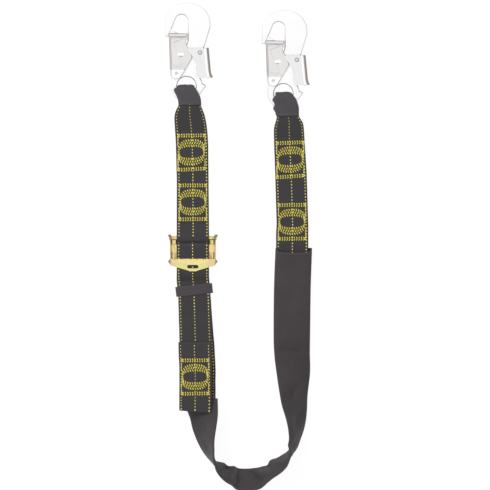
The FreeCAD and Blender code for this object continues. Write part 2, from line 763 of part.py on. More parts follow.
# Middle of the banked webbing from the right leg round the bend to the left leg: X, Y and the
# bank in degrees. The webbing stands on edge at both ends of the bend and leans out across it.
ROUTE = [
    (83.4, size("hook_strap_end_y") - size("pack_step"), 0),
    (83.4, size("pack_end_y") - size("pack_step"), 0),
    (83.2, -164.0, 13),
    (84.1, -186.0, 25),
    (85.4, -207.0, 34),
    (86.4, -230.0, 47),
    (88.4, -259.0, 62),
    (87.6, -288.0, 75),
    (82.4, -316.0, 90),
    (71.6, -331.5, 101),
    (57.8, -343.0, 108),
    (42.0, -353.0, 114),
    (17.5, -360.5, 117),
    (-6.5, -357.5, 114),
    (-24.5, -346.5, 105),
    (-38.4, -333.0, 91),
    (-46.0, -317.0, 81),
    (-50.8, -297.0, 67),
    (-53.4, -275.0, 48),
    (-56.6, -256.0, 28),
    (-59.6, -236.0, 13),
    (-60.8, -214.0, 4),
    (-61.2, -192.0, 0),
    (-63.2, -153.0, 0),
    (-65.8, -120.0, 0),
    (-68.4, -76.0, 0),
    (-70.3, -56.0, 0),
    (-70.3, -44.0, 0),
]
PACK_LAST = 1  # the station where the tear webbing has ended
SLEEVE_LAST = 20  # the sleeve's lower mouth, behind the tail
SLEEVE_THICK = 2 * STRAP_LOW + PLY
PACK_TOP = DOUBLE_TOP + size("ply_gap") + size("tear_thick")
PACK_CEILING = PACK_TOP + size("thread_thick") + size("sleeve_ease")


def station_frame(route, index):
    """Middle, width direction and normal at a station; the width points to the bend's inside."""
    x, y, bank = route[index]
    before = route[max(index - 1, 0)]
    after = route[min(index + 1, len(route) - 1)]
    along = Vector(after[0] - before[0], after[1] - before[1], 0).normalize()
    outward = Vector(-along.y, along.x, 0)
    angle = math.radians(bank)
    across = outward * -math.cos(angle) + Vector(0, 0, math.sin(angle))
    normal = outward * math.sin(angle) + Vector(0, 0, math.cos(angle))
    lift = SLEEVE_HALF * math.sin(angle) + SLEEVE_THICK / 2 * abs(math.cos(angle))
    return Vector(x, y, lift), across, normal


def route_frames(start_y):
    """The frames of the whole route, with its straight first end moved to start_y."""
    route = [(ROUTE[0][0], start_y, 0)] + ROUTE[1:]
    return [station_frame(route, index) for index in range(len(route))]


def ribbon(frames, half_width, bounds):
    """A solid through rectangles across the route; bounds(index) gives low and high on the normal."""
    wires = []
    for index, (middle, across, normal) in enumerate(frames):
        low, high = bounds(index)
        corners = [(-half_width, low), (half_width, low), (half_width, high), (-half_width, high)]
        points = [middle + across * u + normal * v for u, v in corners]
        wires.append(Part.makePolygon(points + points[:1]))
    return Part.makeLoft(wires, True, True)


def protective_sleeve():
    """A fabric tube over the tear webbing and round the bend, open at both ends."""
    wall = size("sleeve_wall")
    mouth = size("sleeve_mouth_y")
    low = -SLEEVE_THICK / 2

    def outer(index):
        thick = PACK_CEILING + wall if index <= PACK_LAST else SLEEVE_THICK
        return low, low + thick

    def inner(index):
        bottom, top = outer(index)
        return bottom + wall, top - wall

    skin = ribbon(route_frames(mouth)[: SLEEVE_LAST + 1], SLEEVE_HALF, outer)
    cavity = ribbon(route_frames(mouth + 1)[: SLEEVE_LAST + 2], SLEEVE_HALF - wall, inner)
    sleeve = doc.addObject("Part::Feature", "protective_sleeve")
    sleeve.Shape = skin.cut(cavity)
    sleeve.Label = "protective_sleeve"
    return keep(sleeve)


def buckle_levels():
    """Heights of what lies in the adjuster, from the table up."""
    base = size("frame_floor") + size("frame_sheet")
    rear = base + size("strap_play")
    slider = rear + PLY + size("strap_play")
    front = slider + size("slider_thick") + size("strap_play")
    plate = front + PLY + size("strap_play")
    return {"base": base, "rear": rear, "slider": slider, "front": front, "plate": plate}


def tail_slope():
    """Rise of the tail over its ramp, for each millimetre along Y."""
    return (size("tail_end_z") - TAIL_LOW) / (size("ramp_start_y") - size("tail_end_y"))


def tail_profile():
    """Side view of the strap's end: under the slider, over it, down the front and to the stop fold."""
    level = buckle_levels()
    joint = ROUTE[-1][1]
    turn_z = (level["rear"] + level["front"] + PLY) / 2
    turn_outer = turn_z - level["rear"]
    turn_inner = turn_outer - PLY
    turn_y = size("slider_top_y") + size("strap_play") - turn_inner
    base_edge = size("frame_low_y")
    under_plate = size("plate_tip_y") - 1.5
    settled = under_plate - 10.0
    ramp = size("ramp_start_y")
    end = size("tail_end_y")
    end_z = size("tail_end_z")
    fold_y = end + size("stop_fold_length")
    fold_z = TAIL_LOW + tail_slope() * (ramp - fold_y)
    start = (joint, STRAP_LOW)
    steps = [
        (base_edge, level["rear"]),
        (turn_y, level["rear"]),
        (turn_y + turn_outer, turn_z, turn_y, level["front"] + PLY),
        (under_plate, level["front"] + PLY),
        (settled, TAIL_LOW + PLY),
        (ramp, TAIL_LOW + PLY),
        (fold_y, fold_z + PLY),
        (fold_y, fold_z + 2 * PLY),
        (end, end_z + 2 * PLY),
        (end - PLY, end_z + PLY, end, end_z),
        (ramp, TAIL_LOW),
        (settled, TAIL_LOW),
        (under_plate, level["front"]),
        (turn_y, level["front"]),
        (turn_y + turn_inner, turn_z, turn_y, level["rear"] + PLY),
        (base_edge, level["rear"] + PLY),
        (joint, STRAP_TOP),
    ]
    return start, steps


def tail_middles():
    """The line that the strap's middle follows from the adjuster to its folded end."""
    buckle_x = size("buckle_x")
    keeper_x = size("keeper_x")
    return [
        (buckle_x, size("slider_top_y") + 20),
        (buckle_x, ROUTE[-1][1] - 4),
        (keeper_x, size("keeper_y")),
        (keeper_x + 1.8, size("tail_end_y") + size("stop_fold_length")),
        (keeper_x + 1.0, size("tail_end_y") - PLY - 1),
    ]


def adjustable_strap():
    """The long strap: out of the pack, round the bend, through the adjuster and back to its stop fold."""
    half = PLY / 2
    run = doc.addObject("Part::Feature", "adjustable_strap_run")
    run.Shape = ribbon(route_frames(ROUTE[0][1]), HALF_WEBBING, lambda index: (-half, half))
    tail = new_body("adjustable_strap_tail")
    centres = tail_middles()
    outline = [(x - HALF_WEBBING, y) for x, y in centres]
    outline += [(x + HALF_WEBBING, y) for x, y in reversed(centres)]
    strip(tail, tail_profile(), [], outline, 2 * abs(size("buckle_x")))
    strap = doc.addObject("Part::MultiFuse", "adjustable_strap")
    strap.Shapes = [run, tail]
    strap.Label = "adjustable_strap"
    doc.recompute()
    return keep(strap)


def tear_webbing():
    """Folded tear webbing: sewn over the hook strap's end and on to the long strap."""
    body = new_body("absorber_tear_webbing")
    top = size("hook_strap_end_y") + size("pack_overlap")
    step = size("hook_strap_end_y") - size("pack_step")
    low = DOUBLE_TOP + size("ply_gap")
    start = (top, low)
    steps = [
        (top, PACK_TOP),
        (size("pack_end_y"), PACK_TOP),
        (size("pack_end_y"), TAIL_LOW),
        (step, TAIL_LOW),
        (step, low),
    ]
    sketch = new_sketch(body, "YZ_Plane", ROUTE[0][0])
    draw(sketch, start, steps)
    pad(body, sketch, PACK_WIDTH)
    return keep(body)


def absorber_stitching():
    """Bar tacks that hold the tear webbing to the straps at its two ends."""
    top = size("hook_strap_end_y") + size("pack_overlap")
    low = size("pack_end_y")
    margin = size("tack_margin")
    pitch = size("pattern_bar") + margin
    left = ROUTE[0][0] - size(PACK_WIDTH) / 2 + margin
    bars = []
    for row in (top - pitch, top - 2 * pitch, low + margin, low + margin + pitch):
        piece = doc.addObject("Part::Box", "absorber_bar")
        piece.setExpression("Length", PACK_WIDTH + " - 2 * Sizes.tack_margin")
        piece.setExpression("Width", "Sizes.pattern_bar")
        piece.setExpression("Height", "Sizes.thread_thick")
        piece.Placement.Base = Vector(left, row, PACK_TOP)
        bars.append(piece)
    group = doc.addObject("Part::Compound", "absorber_stitching")
    group.Links = bars
    group.Label = "absorber_stitching"
    doc.recompute()
    return keep(group)


left_hook_strap()
right_hook_strap()
for hook_side in HOOKS:
    loop_guard(hook_side)
protective_sleeve()
adjustable_strap()
tear_webbing()
absorber_stitching()


# ---------------------------------------------------------------- stitch patterns


def stitch_pattern(name, x, y, z, lean=0.0):
    """A bar, an oval ring and a bar of thread lying on the webbing; lean pitches them about X."""
    half = HALF_WEBBING - size("pattern_margin")
    oval = size("oval_height") / 2
    bar_low = oval + size("pattern_gap")
    bar_high = bar_low + size("pattern_bar")
    corner = 0.42 * size("oval_height")
    bend = corner * (1 - math.sqrt(0.5))
    inner_x = half - size("oval_side")
    inner_y = size("oval_inner_height") / 2
    inner_corner = 0.8 * inner_y
    inner_bend = inner_corner * (1 - math.sqrt(0.5))
    pieces = []
    for part, outlines in (
        ("upper_bar", [box_outline(-half, bar_low, half, bar_high)]),
        ("oval", [rounded(half, oval, corner, bend), rounded(inner_x, inner_y, inner_corner, inner_bend)]),
        ("lower_bar", [box_outline(-half, -bar_high, half, -bar_low)]),
    ):
        body = new_body(f"{name}_{part}")
        sketch = new_sketch(body, "XY_Plane")
        for outline in outlines:
            draw(sketch, *outline)
        pad(body, sketch, "Sizes.thread_thick", symmetric=False)
        pieces.append(body)
    group = doc.addObject("Part::Compound", name)
    group.Links = pieces
    group.Label = name
    doc.recompute()
    keep(group)
    group.Placement = Placement(Vector(x, y, z), Rotation(Vector(1, 0, 0), lean))


def rounded(half_x, half_y, corner, bend):
    """A rectangle with four round corners, as an outline."""
    start = (-half_x + corner, -half_y)
    steps = [
        (half_x - corner, -half_y),
        (half_x - bend, -half_y + bend, half_x, -half_y + corner),
        (half_x, half_y - corner),
        (half_x - bend, half_y - bend, half_x - corner, half_y),
        (-half_x + corner, half_y),
        (-half_x + bend, half_y - bend, -half_x, half_y - corner),
        (-half_x, -half_y + corner),
        (-half_x + bend, -half_y + bend, -half_x + corner, -half_y),
    ]
    return start, steps


for hook_side in HOOKS:
    for level_name in ("upper", "lower"):
        pattern_y = HOOKS[hook_side][1] - size(f"{hook_side}_{level_name}_pattern")
        pattern_x = middle_at(strap_middles(hook_side), pattern_y)
        stitch_pattern(f"{hook_side}_{level_name}_stitching", pattern_x, pattern_y, DOUBLE_TOP)
stitch_pattern(
    "tail_stitching",
    middle_at(tail_middles(), size("tail_end_y") + size("tail_pattern")),
    size("tail_end_y") + size("tail_pattern"),
    size("tail_end_z") + 2 * PLY - tail_slope() * size("tail_pattern"),
    lean=-math.degrees(math.atan(tail_slope())),
)


# ---------------------------------------------------------------- adjuster buckle


TOP_BAR_HEAD = "Sizes.top_bar_radius + Sizes.bar_head_rim"
KNURL_GROOVES = 4


def top_bar_level():
    """Height of the fixed bar's axis."""
    return size("top_bar_floor") + PLY + size("strap_play") + size("top_bar_radius")


def adjuster_frame():
    """Base plate, two side walls and a slotted front plate, folded from one sheet."""
    level = buckle_levels()
    half = size(FRAME_WIDTH) / 2
    wall = size("frame_sheet")
    wing = size("wing_reach")
    floor = size("frame_floor")
    top = level["plate"] + wall
    low_y = size("frame_low_y")
    wall_low = size("wall_low_y")
    high_y = size("frame_top_y")
    body = new_body("adjuster_frame")
    sketch = new_sketch(body, "XY_Plane", floor)
    nose = size("plate_nose")
    strip_end = high_y - 3
    strip_x = half - wall - size("frame_strip")
    base_top = size("base_top_y")
    draw(
        sketch,
        (-half, wall_low),
        [
            (-nose, low_y),
            (nose, low_y),
            (half, wall_low),
            (half, strip_end),
            (strip_x, strip_end),
            (strip_x, base_top),
            (-strip_x, base_top),
            (-strip_x, strip_end),
            (-half, strip_end),
        ],
    )
    pad(body, sketch, "Sizes.frame_sheet", symmetric=False)
    for side in (-1, 1):
        sketch = new_sketch(body, "YZ_Plane", side * (half - wall / 2))
        start = (wall_low, floor)
        steps = [
            (strip_end, floor),
            (high_y, floor + 3),
            (high_y, top - 3),
            (high_y - 3, top),
            (wall_low, top),
        ]
        draw(sketch, start, steps)
        pad(body, sketch, "Sizes.frame_sheet")
    edge_feature(
        body,
        "Fillet",
        "Sizes.frame_bend",
        lambda edge: edge.BoundBox.YLength > high_y
        and edge.BoundBox.XLength < 0.01
        and abs(abs(edge.BoundBox.XMin) - half + wall) < 0.01
        and abs(edge.BoundBox.ZMax - floor - wall) < 0.01,
    )
    for side in (-1, 1):
        outer = side * half
        tip = outer + side * wing
        sketch = new_sketch(body, "XY_Plane", floor + 4)
        draw(sketch, (outer, high_y), [(tip, high_y), (tip, high_y - 2), (outer, high_y - 7)])
        pad(body, sketch, str(top - 3 - floor - 4), symmetric=False)
        sketch = new_sketch(body, "YZ_Plane", outer + side * wing / 2)
        circle(sketch, size("top_bar_y"), top_bar_level(), TOP_BAR_HEAD + " + Sizes.head_gap")
        pocket(body, sketch, "Sizes.wing_reach")
    sketch = new_sketch(body, "XY_Plane", level["plate"])
    plate_top = size("plate_top_y")
    tip = size("plate_tip_y")
    wing_x = half + wing
    draw(
        sketch,
        (-half, plate_top),
        [
            (half, plate_top),
            (wing_x, plate_top - 4.0),
            (half - 1.5, plate_top - 10.5),
            (nose, tip + 1.2),
            (nose - 2.5, tip),
            (2.5 - nose, tip),
            (-nose, tip + 1.2),
            (-half + 1.5, plate_top - 10.5),
            (-wing_x, plate_top - 4.0),
        ],
    )
    pad(body, sketch, "Sizes.frame_sheet", symmetric=False)
    slot_y = (plate_top + tip) / 2 - 2.5
    slot_half = size("plate_slot_height") / 2
    slot_x = size("plate_slot_length") / 2
    sketch = new_sketch(body, "XY_Plane", level["plate"] + wall)
    draw(
        sketch,
        (-slot_x + slot_half, slot_y - slot_half),
        [
            (slot_x - slot_half, slot_y - slot_half),
            (slot_x, slot_y, slot_x - slot_half, slot_y + slot_half),
            (-slot_x + slot_half, slot_y + slot_half),
            (-slot_x, slot_y, -slot_x + slot_half, slot_y - slot_half),
        ],
    )
    pocket(body, sketch, "Sizes.frame_sheet * 2", symmetric=False)
    middle = level["slider"] + size("slider_thick") / 2
    sketch = new_sketch(body, "YZ_Plane")
    circle(sketch, size("top_bar_y"), top_bar_level(), "Sizes.top_bar_radius + Sizes.rivet_fit")
    tang_y = size("slider_top_y") - size("slider_height") / 2
    reach = size("tang_height") / 2 + size("strap_play")
    tang = size("tang_thick") / 2 + size("strap_play")
    slot_low = tang_y - reach - size("slider_travel")
    draw(sketch, *box_outline(slot_low, middle - tang, tang_y + reach, middle + tang))
    pocket(body, sketch, FRAME_WIDTH + " + 1")
    return keep(body, size("buckle_x"))


def adjuster_top_bar():
    """The fixed bar, riveted over outside the side walls."""
    bar_z = top_bar_level()
    reach = size(FRAME_WIDTH) / 2 + size("head_gap")
    bar = doc.addObject("Part::Cylinder", "top_bar_shank")
    bar.setExpression("Radius", "Sizes.top_bar_radius")
    bar.setExpression("Height", FRAME_WIDTH + " + 2 * Sizes.head_gap")
    bar.Placement = Placement(Vector(-reach, size("top_bar_y"), bar_z), Rotation(Vector(0, 1, 0), 90))
    heads = []
    for side in (-1, 1):
        head = doc.addObject("Part::Cone", "top_bar_head")
        head.setExpression("Radius1", TOP_BAR_HEAD)
        head.setExpression("Radius2", "Sizes.top_bar_radius")
        head.setExpression("Height", "Sizes.bar_head_height")
        head.Placement = Placement(
            Vector(side * reach, size("top_bar_y"), bar_z), Rotation(Vector(0, 1, 0), side * 90)
        )
        heads.append(head)
    whole = doc.addObject("Part::MultiFuse", "adjuster_top_bar")
    whole.Shapes = [bar] + heads
    whole.Label = "adjuster_top_bar"
    doc.recompute()
    return keep(whole, size("buckle_x"))


def adjuster_slider():
    """The floating bar that the webbing turns over: thick knurled ends and a tang in each side wall."""
    level = buckle_levels()
    thick = size("slider_thick")
    middle = level["slider"] + thick / 2
    inside = HALF_WEBBING + size("slider_side_play") + size("slider_block")
    top_y = size("slider_top_y")
    low_y = top_y - size("slider_height")
    body = new_body("adjuster_slider")
    sketch = new_sketch(body, "YZ_Plane")
    half = thick / 2
    start = (low_y + half, middle - half)
    steps = [
        (top_y - half, middle - half),
        (top_y, middle, top_y - half, middle + half),
        (low_y + half, middle + half),
        (low_y, middle, low_y + half, middle - half),
    ]
    draw(sketch, start, steps)
    pad(body, sketch, str(2 * inside))
    face = half + size("slider_block_extra")
    groove = size("knurl_width") / 2
    for side in (-1, 1):
        block_x = side * (inside - size("slider_block") / 2)
        sketch = new_sketch(body, "YZ_Plane", block_x)
        draw(sketch, *box_outline(low_y, middle - face, top_y, middle + face))
        pad(body, sketch, "Sizes.slider_block")
        for tooth in range(1, KNURL_GROOVES + 1):
            y = low_y + tooth * size("slider_height") / (KNURL_GROOVES + 1)
            depth = middle + face - size("knurl_depth")
            sketch = new_sketch(body, "YZ_Plane", block_x)
            draw(sketch, *box_outline(y - groove, depth, y + groove, middle + 2 * face))
            pocket(body, sketch, "Sizes.slider_block + 1")
    tang_y = (top_y + low_y) / 2
    reach = size("tang_height") / 2
    tang = size("tang_thick") / 2
    sketch = new_sketch(body, "YZ_Plane")
    draw(sketch, *box_outline(tang_y - reach, middle - tang, tang_y + reach, middle + tang))
    pad(body, sketch, FRAME_WIDTH)
    return keep(body, size("buckle_x"))


adjuster_frame()
adjuster_top_bar()
adjuster_slider()


# ---------------------------------------------------------------- keeper


def strap_keeper():
    """An elastic band round the strap and its tail."""
    ease = size("keeper_ease")
    wall = size("keeper_wall")
    low = STRAP_LOW - ease
    high = TAIL_LOW + PLY + ease
    half = HALF_WEBBING + size("keeper_side_ease")
    body = new_body("strap_keeper")
    sketch = new_sketch(body, "XZ_Plane")
    draw(sketch, *box_outline(-half - wall, low - wall, half + wall, high + wall))
    draw(sketch, *box_outline(-half, low, half, high))
    pad(body, sketch, "Sizes.keeper_length")
    return keep(body, size("keeper_x"), size("keeper_y"), turn=size("keeper_tilt"))


strap_keeper()

# ---------------------------------------------------------------- checks and files

doc.recompute()
for item in doc.Objects:
    if {"Invalid", "Error"} & set(item.State):
        raise RuntimeError(f"{item.Label} failed: {item.State}")
for node in nodes:
    if node.Shape.isNull() or not node.Shape.isValid():
        raise RuntimeError(f"{node.Label} has no valid shape")

os.makedirs("parts", exist_ok=True)
whole = FreeCAD.BoundBox()
for node in nodes:
    node.Shape.exportStep(os.path.join("parts", f"{node.Label}.step"))
    whole.add(node.Shape.BoundBox)
print(f"{len(nodes)} nodes in {whole}")
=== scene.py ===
"""Dresses the shock absorbing lanyard: webbing, thread, plated steel and zinc on its fixed frame."""

import json
import math

import bmesh
import bpy
import numpy as np
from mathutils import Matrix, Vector, noise


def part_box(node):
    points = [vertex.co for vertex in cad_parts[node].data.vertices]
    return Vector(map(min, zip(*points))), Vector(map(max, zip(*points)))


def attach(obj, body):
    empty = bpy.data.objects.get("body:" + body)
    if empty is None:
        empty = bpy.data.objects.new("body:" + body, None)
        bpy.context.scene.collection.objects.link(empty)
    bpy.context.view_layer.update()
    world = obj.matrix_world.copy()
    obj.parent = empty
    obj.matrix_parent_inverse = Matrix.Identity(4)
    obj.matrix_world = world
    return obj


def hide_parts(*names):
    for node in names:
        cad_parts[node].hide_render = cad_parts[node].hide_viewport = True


bl_info = {
    "name": "Shock Absorbing Lanyard",
    "version": (1, 0, 0),
    "blender": (4, 5, 0),
    "location": "View3D > Sidebar > Lanyard",
    "description": "Dresses the lanyard's frame with webbing, thread, plated steel and zinc",
    "category": "Object",
}

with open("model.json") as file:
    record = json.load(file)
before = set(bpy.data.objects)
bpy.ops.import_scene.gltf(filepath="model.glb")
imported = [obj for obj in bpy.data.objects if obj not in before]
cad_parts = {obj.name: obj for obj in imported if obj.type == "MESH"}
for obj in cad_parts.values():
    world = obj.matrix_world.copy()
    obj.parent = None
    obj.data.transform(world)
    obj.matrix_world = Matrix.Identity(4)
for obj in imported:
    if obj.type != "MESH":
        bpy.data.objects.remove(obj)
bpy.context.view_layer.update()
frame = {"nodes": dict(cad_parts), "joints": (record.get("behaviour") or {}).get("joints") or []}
MM = 0.001  # every line below is drawn in millimetres and becomes metres in make_piece


# ---------------------------------------------------------------- sizes and colours


def number(name, description, default, **limits):
    return bpy.props.FloatProperty(name=name, description=description, default=default, **limits)


def length(name, description, default):
    return number(name, description, default, min=0.0, unit="LENGTH", precision=5)


def share(name, description, default):
    return number(name, description, default, min=0.0, max=1.0, subtype="FACTOR")


def level(name, description, default):
    return number(name, description, default, min=0.0)


def colour(name, description, default):
    return bpy.props.FloatVectorProperty(
        name=name, description=description, default=default, size=3, min=0.0, max=1.0, subtype="COLOR"
    )


class LanyardWebbing(bpy.types.PropertyGroup):
    """The load webbing with its yellow tracer yarns."""

    width: length("Width", "Width of the load webbing", 0.050)
    thick: length("Thickness", "Thickness of one ply", 0.0029)
    cord_pitch: length("Cord pitch", "Distance between the warp cords", 0.0016)
    pick_pitch: length("Pick pitch", "Distance between the weft picks", 0.0011)
    tone: colour("Webbing", "Charcoal polyester", (0.055, 0.050, 0.053))
    tracer_pitch: length("Tracer pitch", "Distance between two tracer dashes", 0.00478)
    tracer_wide: length("Tracer width", "Width of a tracer dash", 0.0018)
    tracer_long: length("Tracer length", "Length of a tracer dash", 0.0025)
    tracer_tone: colour("Tracer", "Pale yellow tracer yarn", (0.95, 0.85, 0.24))


class LanyardCovers(bpy.types.PropertyGroup):
    """The loop guards, the protective sleeve, the keeper and the folded tear webbing."""

    sleeve_tone: colour("Sleeve", "Charcoal sleeve fabric", (0.064, 0.056, 0.059))
    guard_tone: colour("Guard", "Charcoal guard fabric", (0.082, 0.077, 0.085))
    keeper_tone: colour("Keeper", "Elastic of the keeper", (0.078, 0.068, 0.076))
    tear_tone: colour("Tear webbing", "Undyed tear webbing", (0.55, 0.53, 0.47))
    sleeve_wall: length("Sleeve wall", "Fabric thickness of the sleeve", 0.0012)
    guard_wall: length("Guard wall", "Fabric thickness of a guard", 0.0010)
    keeper_wall: length("Keeper wall", "Fabric thickness of the keeper", 0.0013)
    crease: level("Creases", "Depth of the sleeve's creases", 1.6)


class LanyardThread(bpy.types.PropertyGroup):
    """The sewing thread of the stitch patterns and bar tacks."""

    radius: length("Thread radius", "Radius of the sewing thread", 0.00082)
    stitch: length("Stitch", "Length of one straight stitch", 0.0029)
    pitch: length("Zigzag pitch", "Distance between two zigzag stitches", 0.0037)
    tone: colour("Thread", "Yellow polyester thread", (0.80, 0.71, 0.17))
    shade: colour("Thread shade", "The same thread between its strands", (0.30, 0.255, 0.075))


class LanyardMetal(bpy.types.PropertyGroup):
    """The plated steel of the hooks and the zinc of the adjuster."""

    forging_tone: colour("Forging", "Bright plated forging", (0.99, 0.99, 0.995))
    gate_tone: colour("Gate", "Satin plated gate", (0.83, 0.815, 0.81))
    lever_tone: colour("Lever", "Satin plated locking lever", (0.92, 0.915, 0.92))
    # Painted shade for the lever's folded edge and the gate's slot.
    painted_shade_tone: colour("Painted shade", "Painted shade on the lever's folded edge and in the gate's slot", (0.50, 0.455, 0.42))
    rivet_tone: colour("Rivets", "Turned steel rivets", (0.72, 0.71, 0.71))
    spring_tone: colour("Springs", "Drawn spring wire", (0.42, 0.41, 0.40))
    zinc_gold: colour("Zinc gold", "Yellow passivated zinc", (1.0, 0.91, 0.37))
    zinc_rose: colour("Zinc rose", "Rose cast in the passivation", (1.0, 0.72, 0.42))
    zinc_green: colour("Zinc green", "Green cast in the passivation", (0.74, 0.76, 0.34))
    rough: share("Roughness", "Roughness of the plating", 0.34)


class LanyardStage(bpy.types.PropertyGroup):
    """Floor, lamps and camera."""

    floor_tone: colour("Floor", "Pale table", (0.86, 0.86, 0.86))
    white: level("Backdrop", "Brightness of the white backdrop", 1.0)
    sky: level("Sky", "Light from all round", 0.53)
    key: level("Key lamp", "Power of the lamp at the upper left", 34.0)
    fill: level("Fill lamp", "Power of the lamp at the right", 5.0)
    span: length("Span", "Side of the square that the camera sees", 0.7585)
    height: length("Camera height", "Height of the camera above the table", 2.0)
    aim_x: number("Aim X", "Where the camera looks, across", 0.0104, unit="LENGTH")
    aim_y: number("Aim Y", "Where the camera looks, along", 0.0014, unit="LENGTH")


# ---------------------------------------------------------------- lines and runs

RUN_STEP = 2.6  # distance between two sections of a strap
SOFT_FROM = 1.0  # height under which soft cloth spreads on the table
LOWEST = 0.15  # height that it keeps above the table
BOXY = 0.55  # 1 gives a flattened tube an elliptic section, less gives it squarer sides


def even_line(points, spacing):
    """Points at even distances along a line."""
    line = np.array(points, float)
    travelled = distances(line)
    count = max(int(round(travelled[-1] / spacing)), 2)
    marks = np.linspace(0, travelled[-1], count + 1)
    return np.stack([np.interp(marks, travelled, column) for column in line.T], axis=1)


def distances(line):
    """How far each point is along its line."""
    legs = np.linalg.norm(np.diff(line, axis=0), axis=1)
    return np.concatenate(([0.0], np.cumsum(legs)))


def rounded(corners, closed=False):
    """A side view's line through corners of y, z and radius, with an arc at each corner."""
    spots = [np.array(corner[:2], float) for corner in corners]
    line = []
    for i, spot in enumerate(spots):
        if not closed and i in (0, len(spots) - 1):
            line.append(spot)
            continue
        behind = spots[i - 1] - spot
        beyond = spots[(i + 1) % len(spots)] - spot
        behind /= np.linalg.norm(behind)
        beyond /= np.linalg.norm(beyond)
        bend = math.pi - math.acos(float(np.clip(behind @ beyond, -1, 1)))
        if bend < 0.02:
            line.append(spot)
            continue
        radius = corners[i][2]
        start = behind * radius * math.tan(bend / 2)
        middle = (behind + beyond) / np.linalg.norm(behind + beyond) * radius / math.cos(bend / 2)
        turn = bend if behind[0] * beyond[1] < behind[1] * beyond[0] else -bend
        steps = max(int(bend / 0.2), 2)
        for k in range(steps + 1):
            c, d = math.cos(turn * k / steps), math.sin(turn * k / steps)
            y, z = start - middle
            line.append(spot + middle + np.array((c * y - d * z, d * y + c * z)))
    if closed:
        line.append(line[0])
    filled = [line[0]]
    for here, there in zip(line, line[1:]):
        count = max(int(np.linalg.norm(there - here) / RUN_STEP), 1)
        if np.linalg.norm(there - here) > 0.01:
            filled += [here + (there - here) * k / count for k in range(1, count + 1)]
    return filled[:-1] if closed else filled


def smooth(value):
    """A soft step from 0 to 1."""
    value = np.clip(value, 0, 1)
    return value * value * (3 - 2 * value)


def cloud(x, y, z):
    """A smooth variation in space, between about -1 and 1."""
    return noise.noise(Vector((x, y, z)))


def wander(value, seed, scale):
    """A slow, seeded variation between about -1 and 1."""
    return cloud(value * scale, seed * 7.31, 0.37 * seed)


class Run:
    """A strap's middle line with its frames, widths and bow, in millimetres."""

    def __init__(self, middle, across, left, right, thick, bow=0.0, closed=False):
        self.middle = np.array(middle, float)
        count = len(self.middle)
        self.across = np.array(across, float) * np.ones((count, 1))
        ahead = np.roll(self.middle, -1, 0) - np.roll(self.middle, 1, 0)
        if not closed:
            ahead[0] = self.middle[1] - self.middle[0]
            ahead[-1] = self.middle[-1] - self.middle[-2]
        up = np.cross(self.across, ahead)
        self.up = up / np.linalg.norm(up, axis=1)[:, None]
        self.ahead = np.cross(self.up, self.across)
        self.left = np.ones(count) * left
        self.right = np.ones(count) * right
        self.thick = np.ones(count) * thick
        self.bow = np.ones(count) * bow
        self.closed = closed
        self.at = distances(self.middle)
        self.length = self.at[-1]
        if closed:
            self.length += float(np.linalg.norm(self.middle[0] - self.middle[-1]))

    def place(self, index, share_across, height):
        """A point at a share of the width, -1 to 1, and a height above the middle surface."""
        reach = np.where(share_across < 0, self.left[index], self.right[index])
        sag = self.bow[index] * share_across**2
        return (
            self.middle[index]
            + self.across[index] * (share_across * reach)
            + self.up[index] * (height - sag)
        )

    def spot(self, distance, share_across, height):
        """The same, at a distance along the run."""
        index = int(np.clip(np.searchsorted(self.at, distance) - 1, 0, len(self.at) - 2))
        gap = self.at[index + 1] - self.at[index]
        blend = (distance - self.at[index]) / max(gap, 1e-9)
        first = self.place(index, share_across, height)
        second = self.place(index + 1, share_across, height)
        return first * (1 - blend) + second * blend


# Half section of webbing: share of the half width, and share of the full thickness there.
SELVEDGE = [
    (0.0, 0.97),
    (0.22, 0.97),
    (0.45, 0.97),
    (0.66, 0.96),
    (0.80, 0.95),
    (0.88, 1.0),
    (0.94, 0.98),
    (0.975, 0.80),
    (0.993, 0.45),
    (1.0, 0.0),
]
SECTION = [(-x, t) for x, t in reversed(SELVEDGE)] + SELVEDGE[1:]


def ribbon(run, half_width=25.0, seed=1, wave=None):
    """Points, faces and weave coordinates of a flat strap with rounded selvedges."""
    ring = SECTION + [(x, -t) for x, t in SECTION[-2:0:-1]]
    size = len(ring)
    points, weave = [], []
    for index in range(len(run.middle)):
        at = run.at[index]
        ripple = 0.16 * wander(at, seed, 0.045)
        edge = 1 + 0.006 * wander(at, seed + 3, 0.09)
        for x, t in ring:
            rise = t * run.thick[index] / 2 + ripple * (1 - x * x) + (wave(index, x) if wave else 0.0)
            points.append(above_table(run.place(index, x * edge, rise)))
            weave.append((x * half_width, at))
    faces = ring_faces(len(run.middle), size, run.closed)
    if not run.closed:
        for base, flip in ((0, True), ((len(run.middle) - 1) * size, False)):
            for i in range(len(SECTION) - 1):
                corner = [i, i + 1, (size - i - 1) % size, (size - i) % size]
                face = [base + c for k, c in enumerate(corner) if c not in corner[:k]]
                faces.append(face[::-1] if flip else face)
    return points, faces, weave


def above_table(point):
    """Soft cloth that would sink into the table spreads on it instead."""
    if point[2] < SOFT_FROM:
        room = SOFT_FROM - LOWEST
        point[2] = LOWEST + room * math.exp((point[2] - SOFT_FROM) / room)
    return point


def ring_faces(rings, size, closed=False):
    """Quads between neighbouring rings of points."""
    faces = []
    for i in range(rings if closed else rings - 1):
        here, there = i * size, (i + 1) % rings * size
        for k in range(size):
            after = (k + 1) % size
            faces.append((here + k, here + after, there + after, there + k))
    return faces


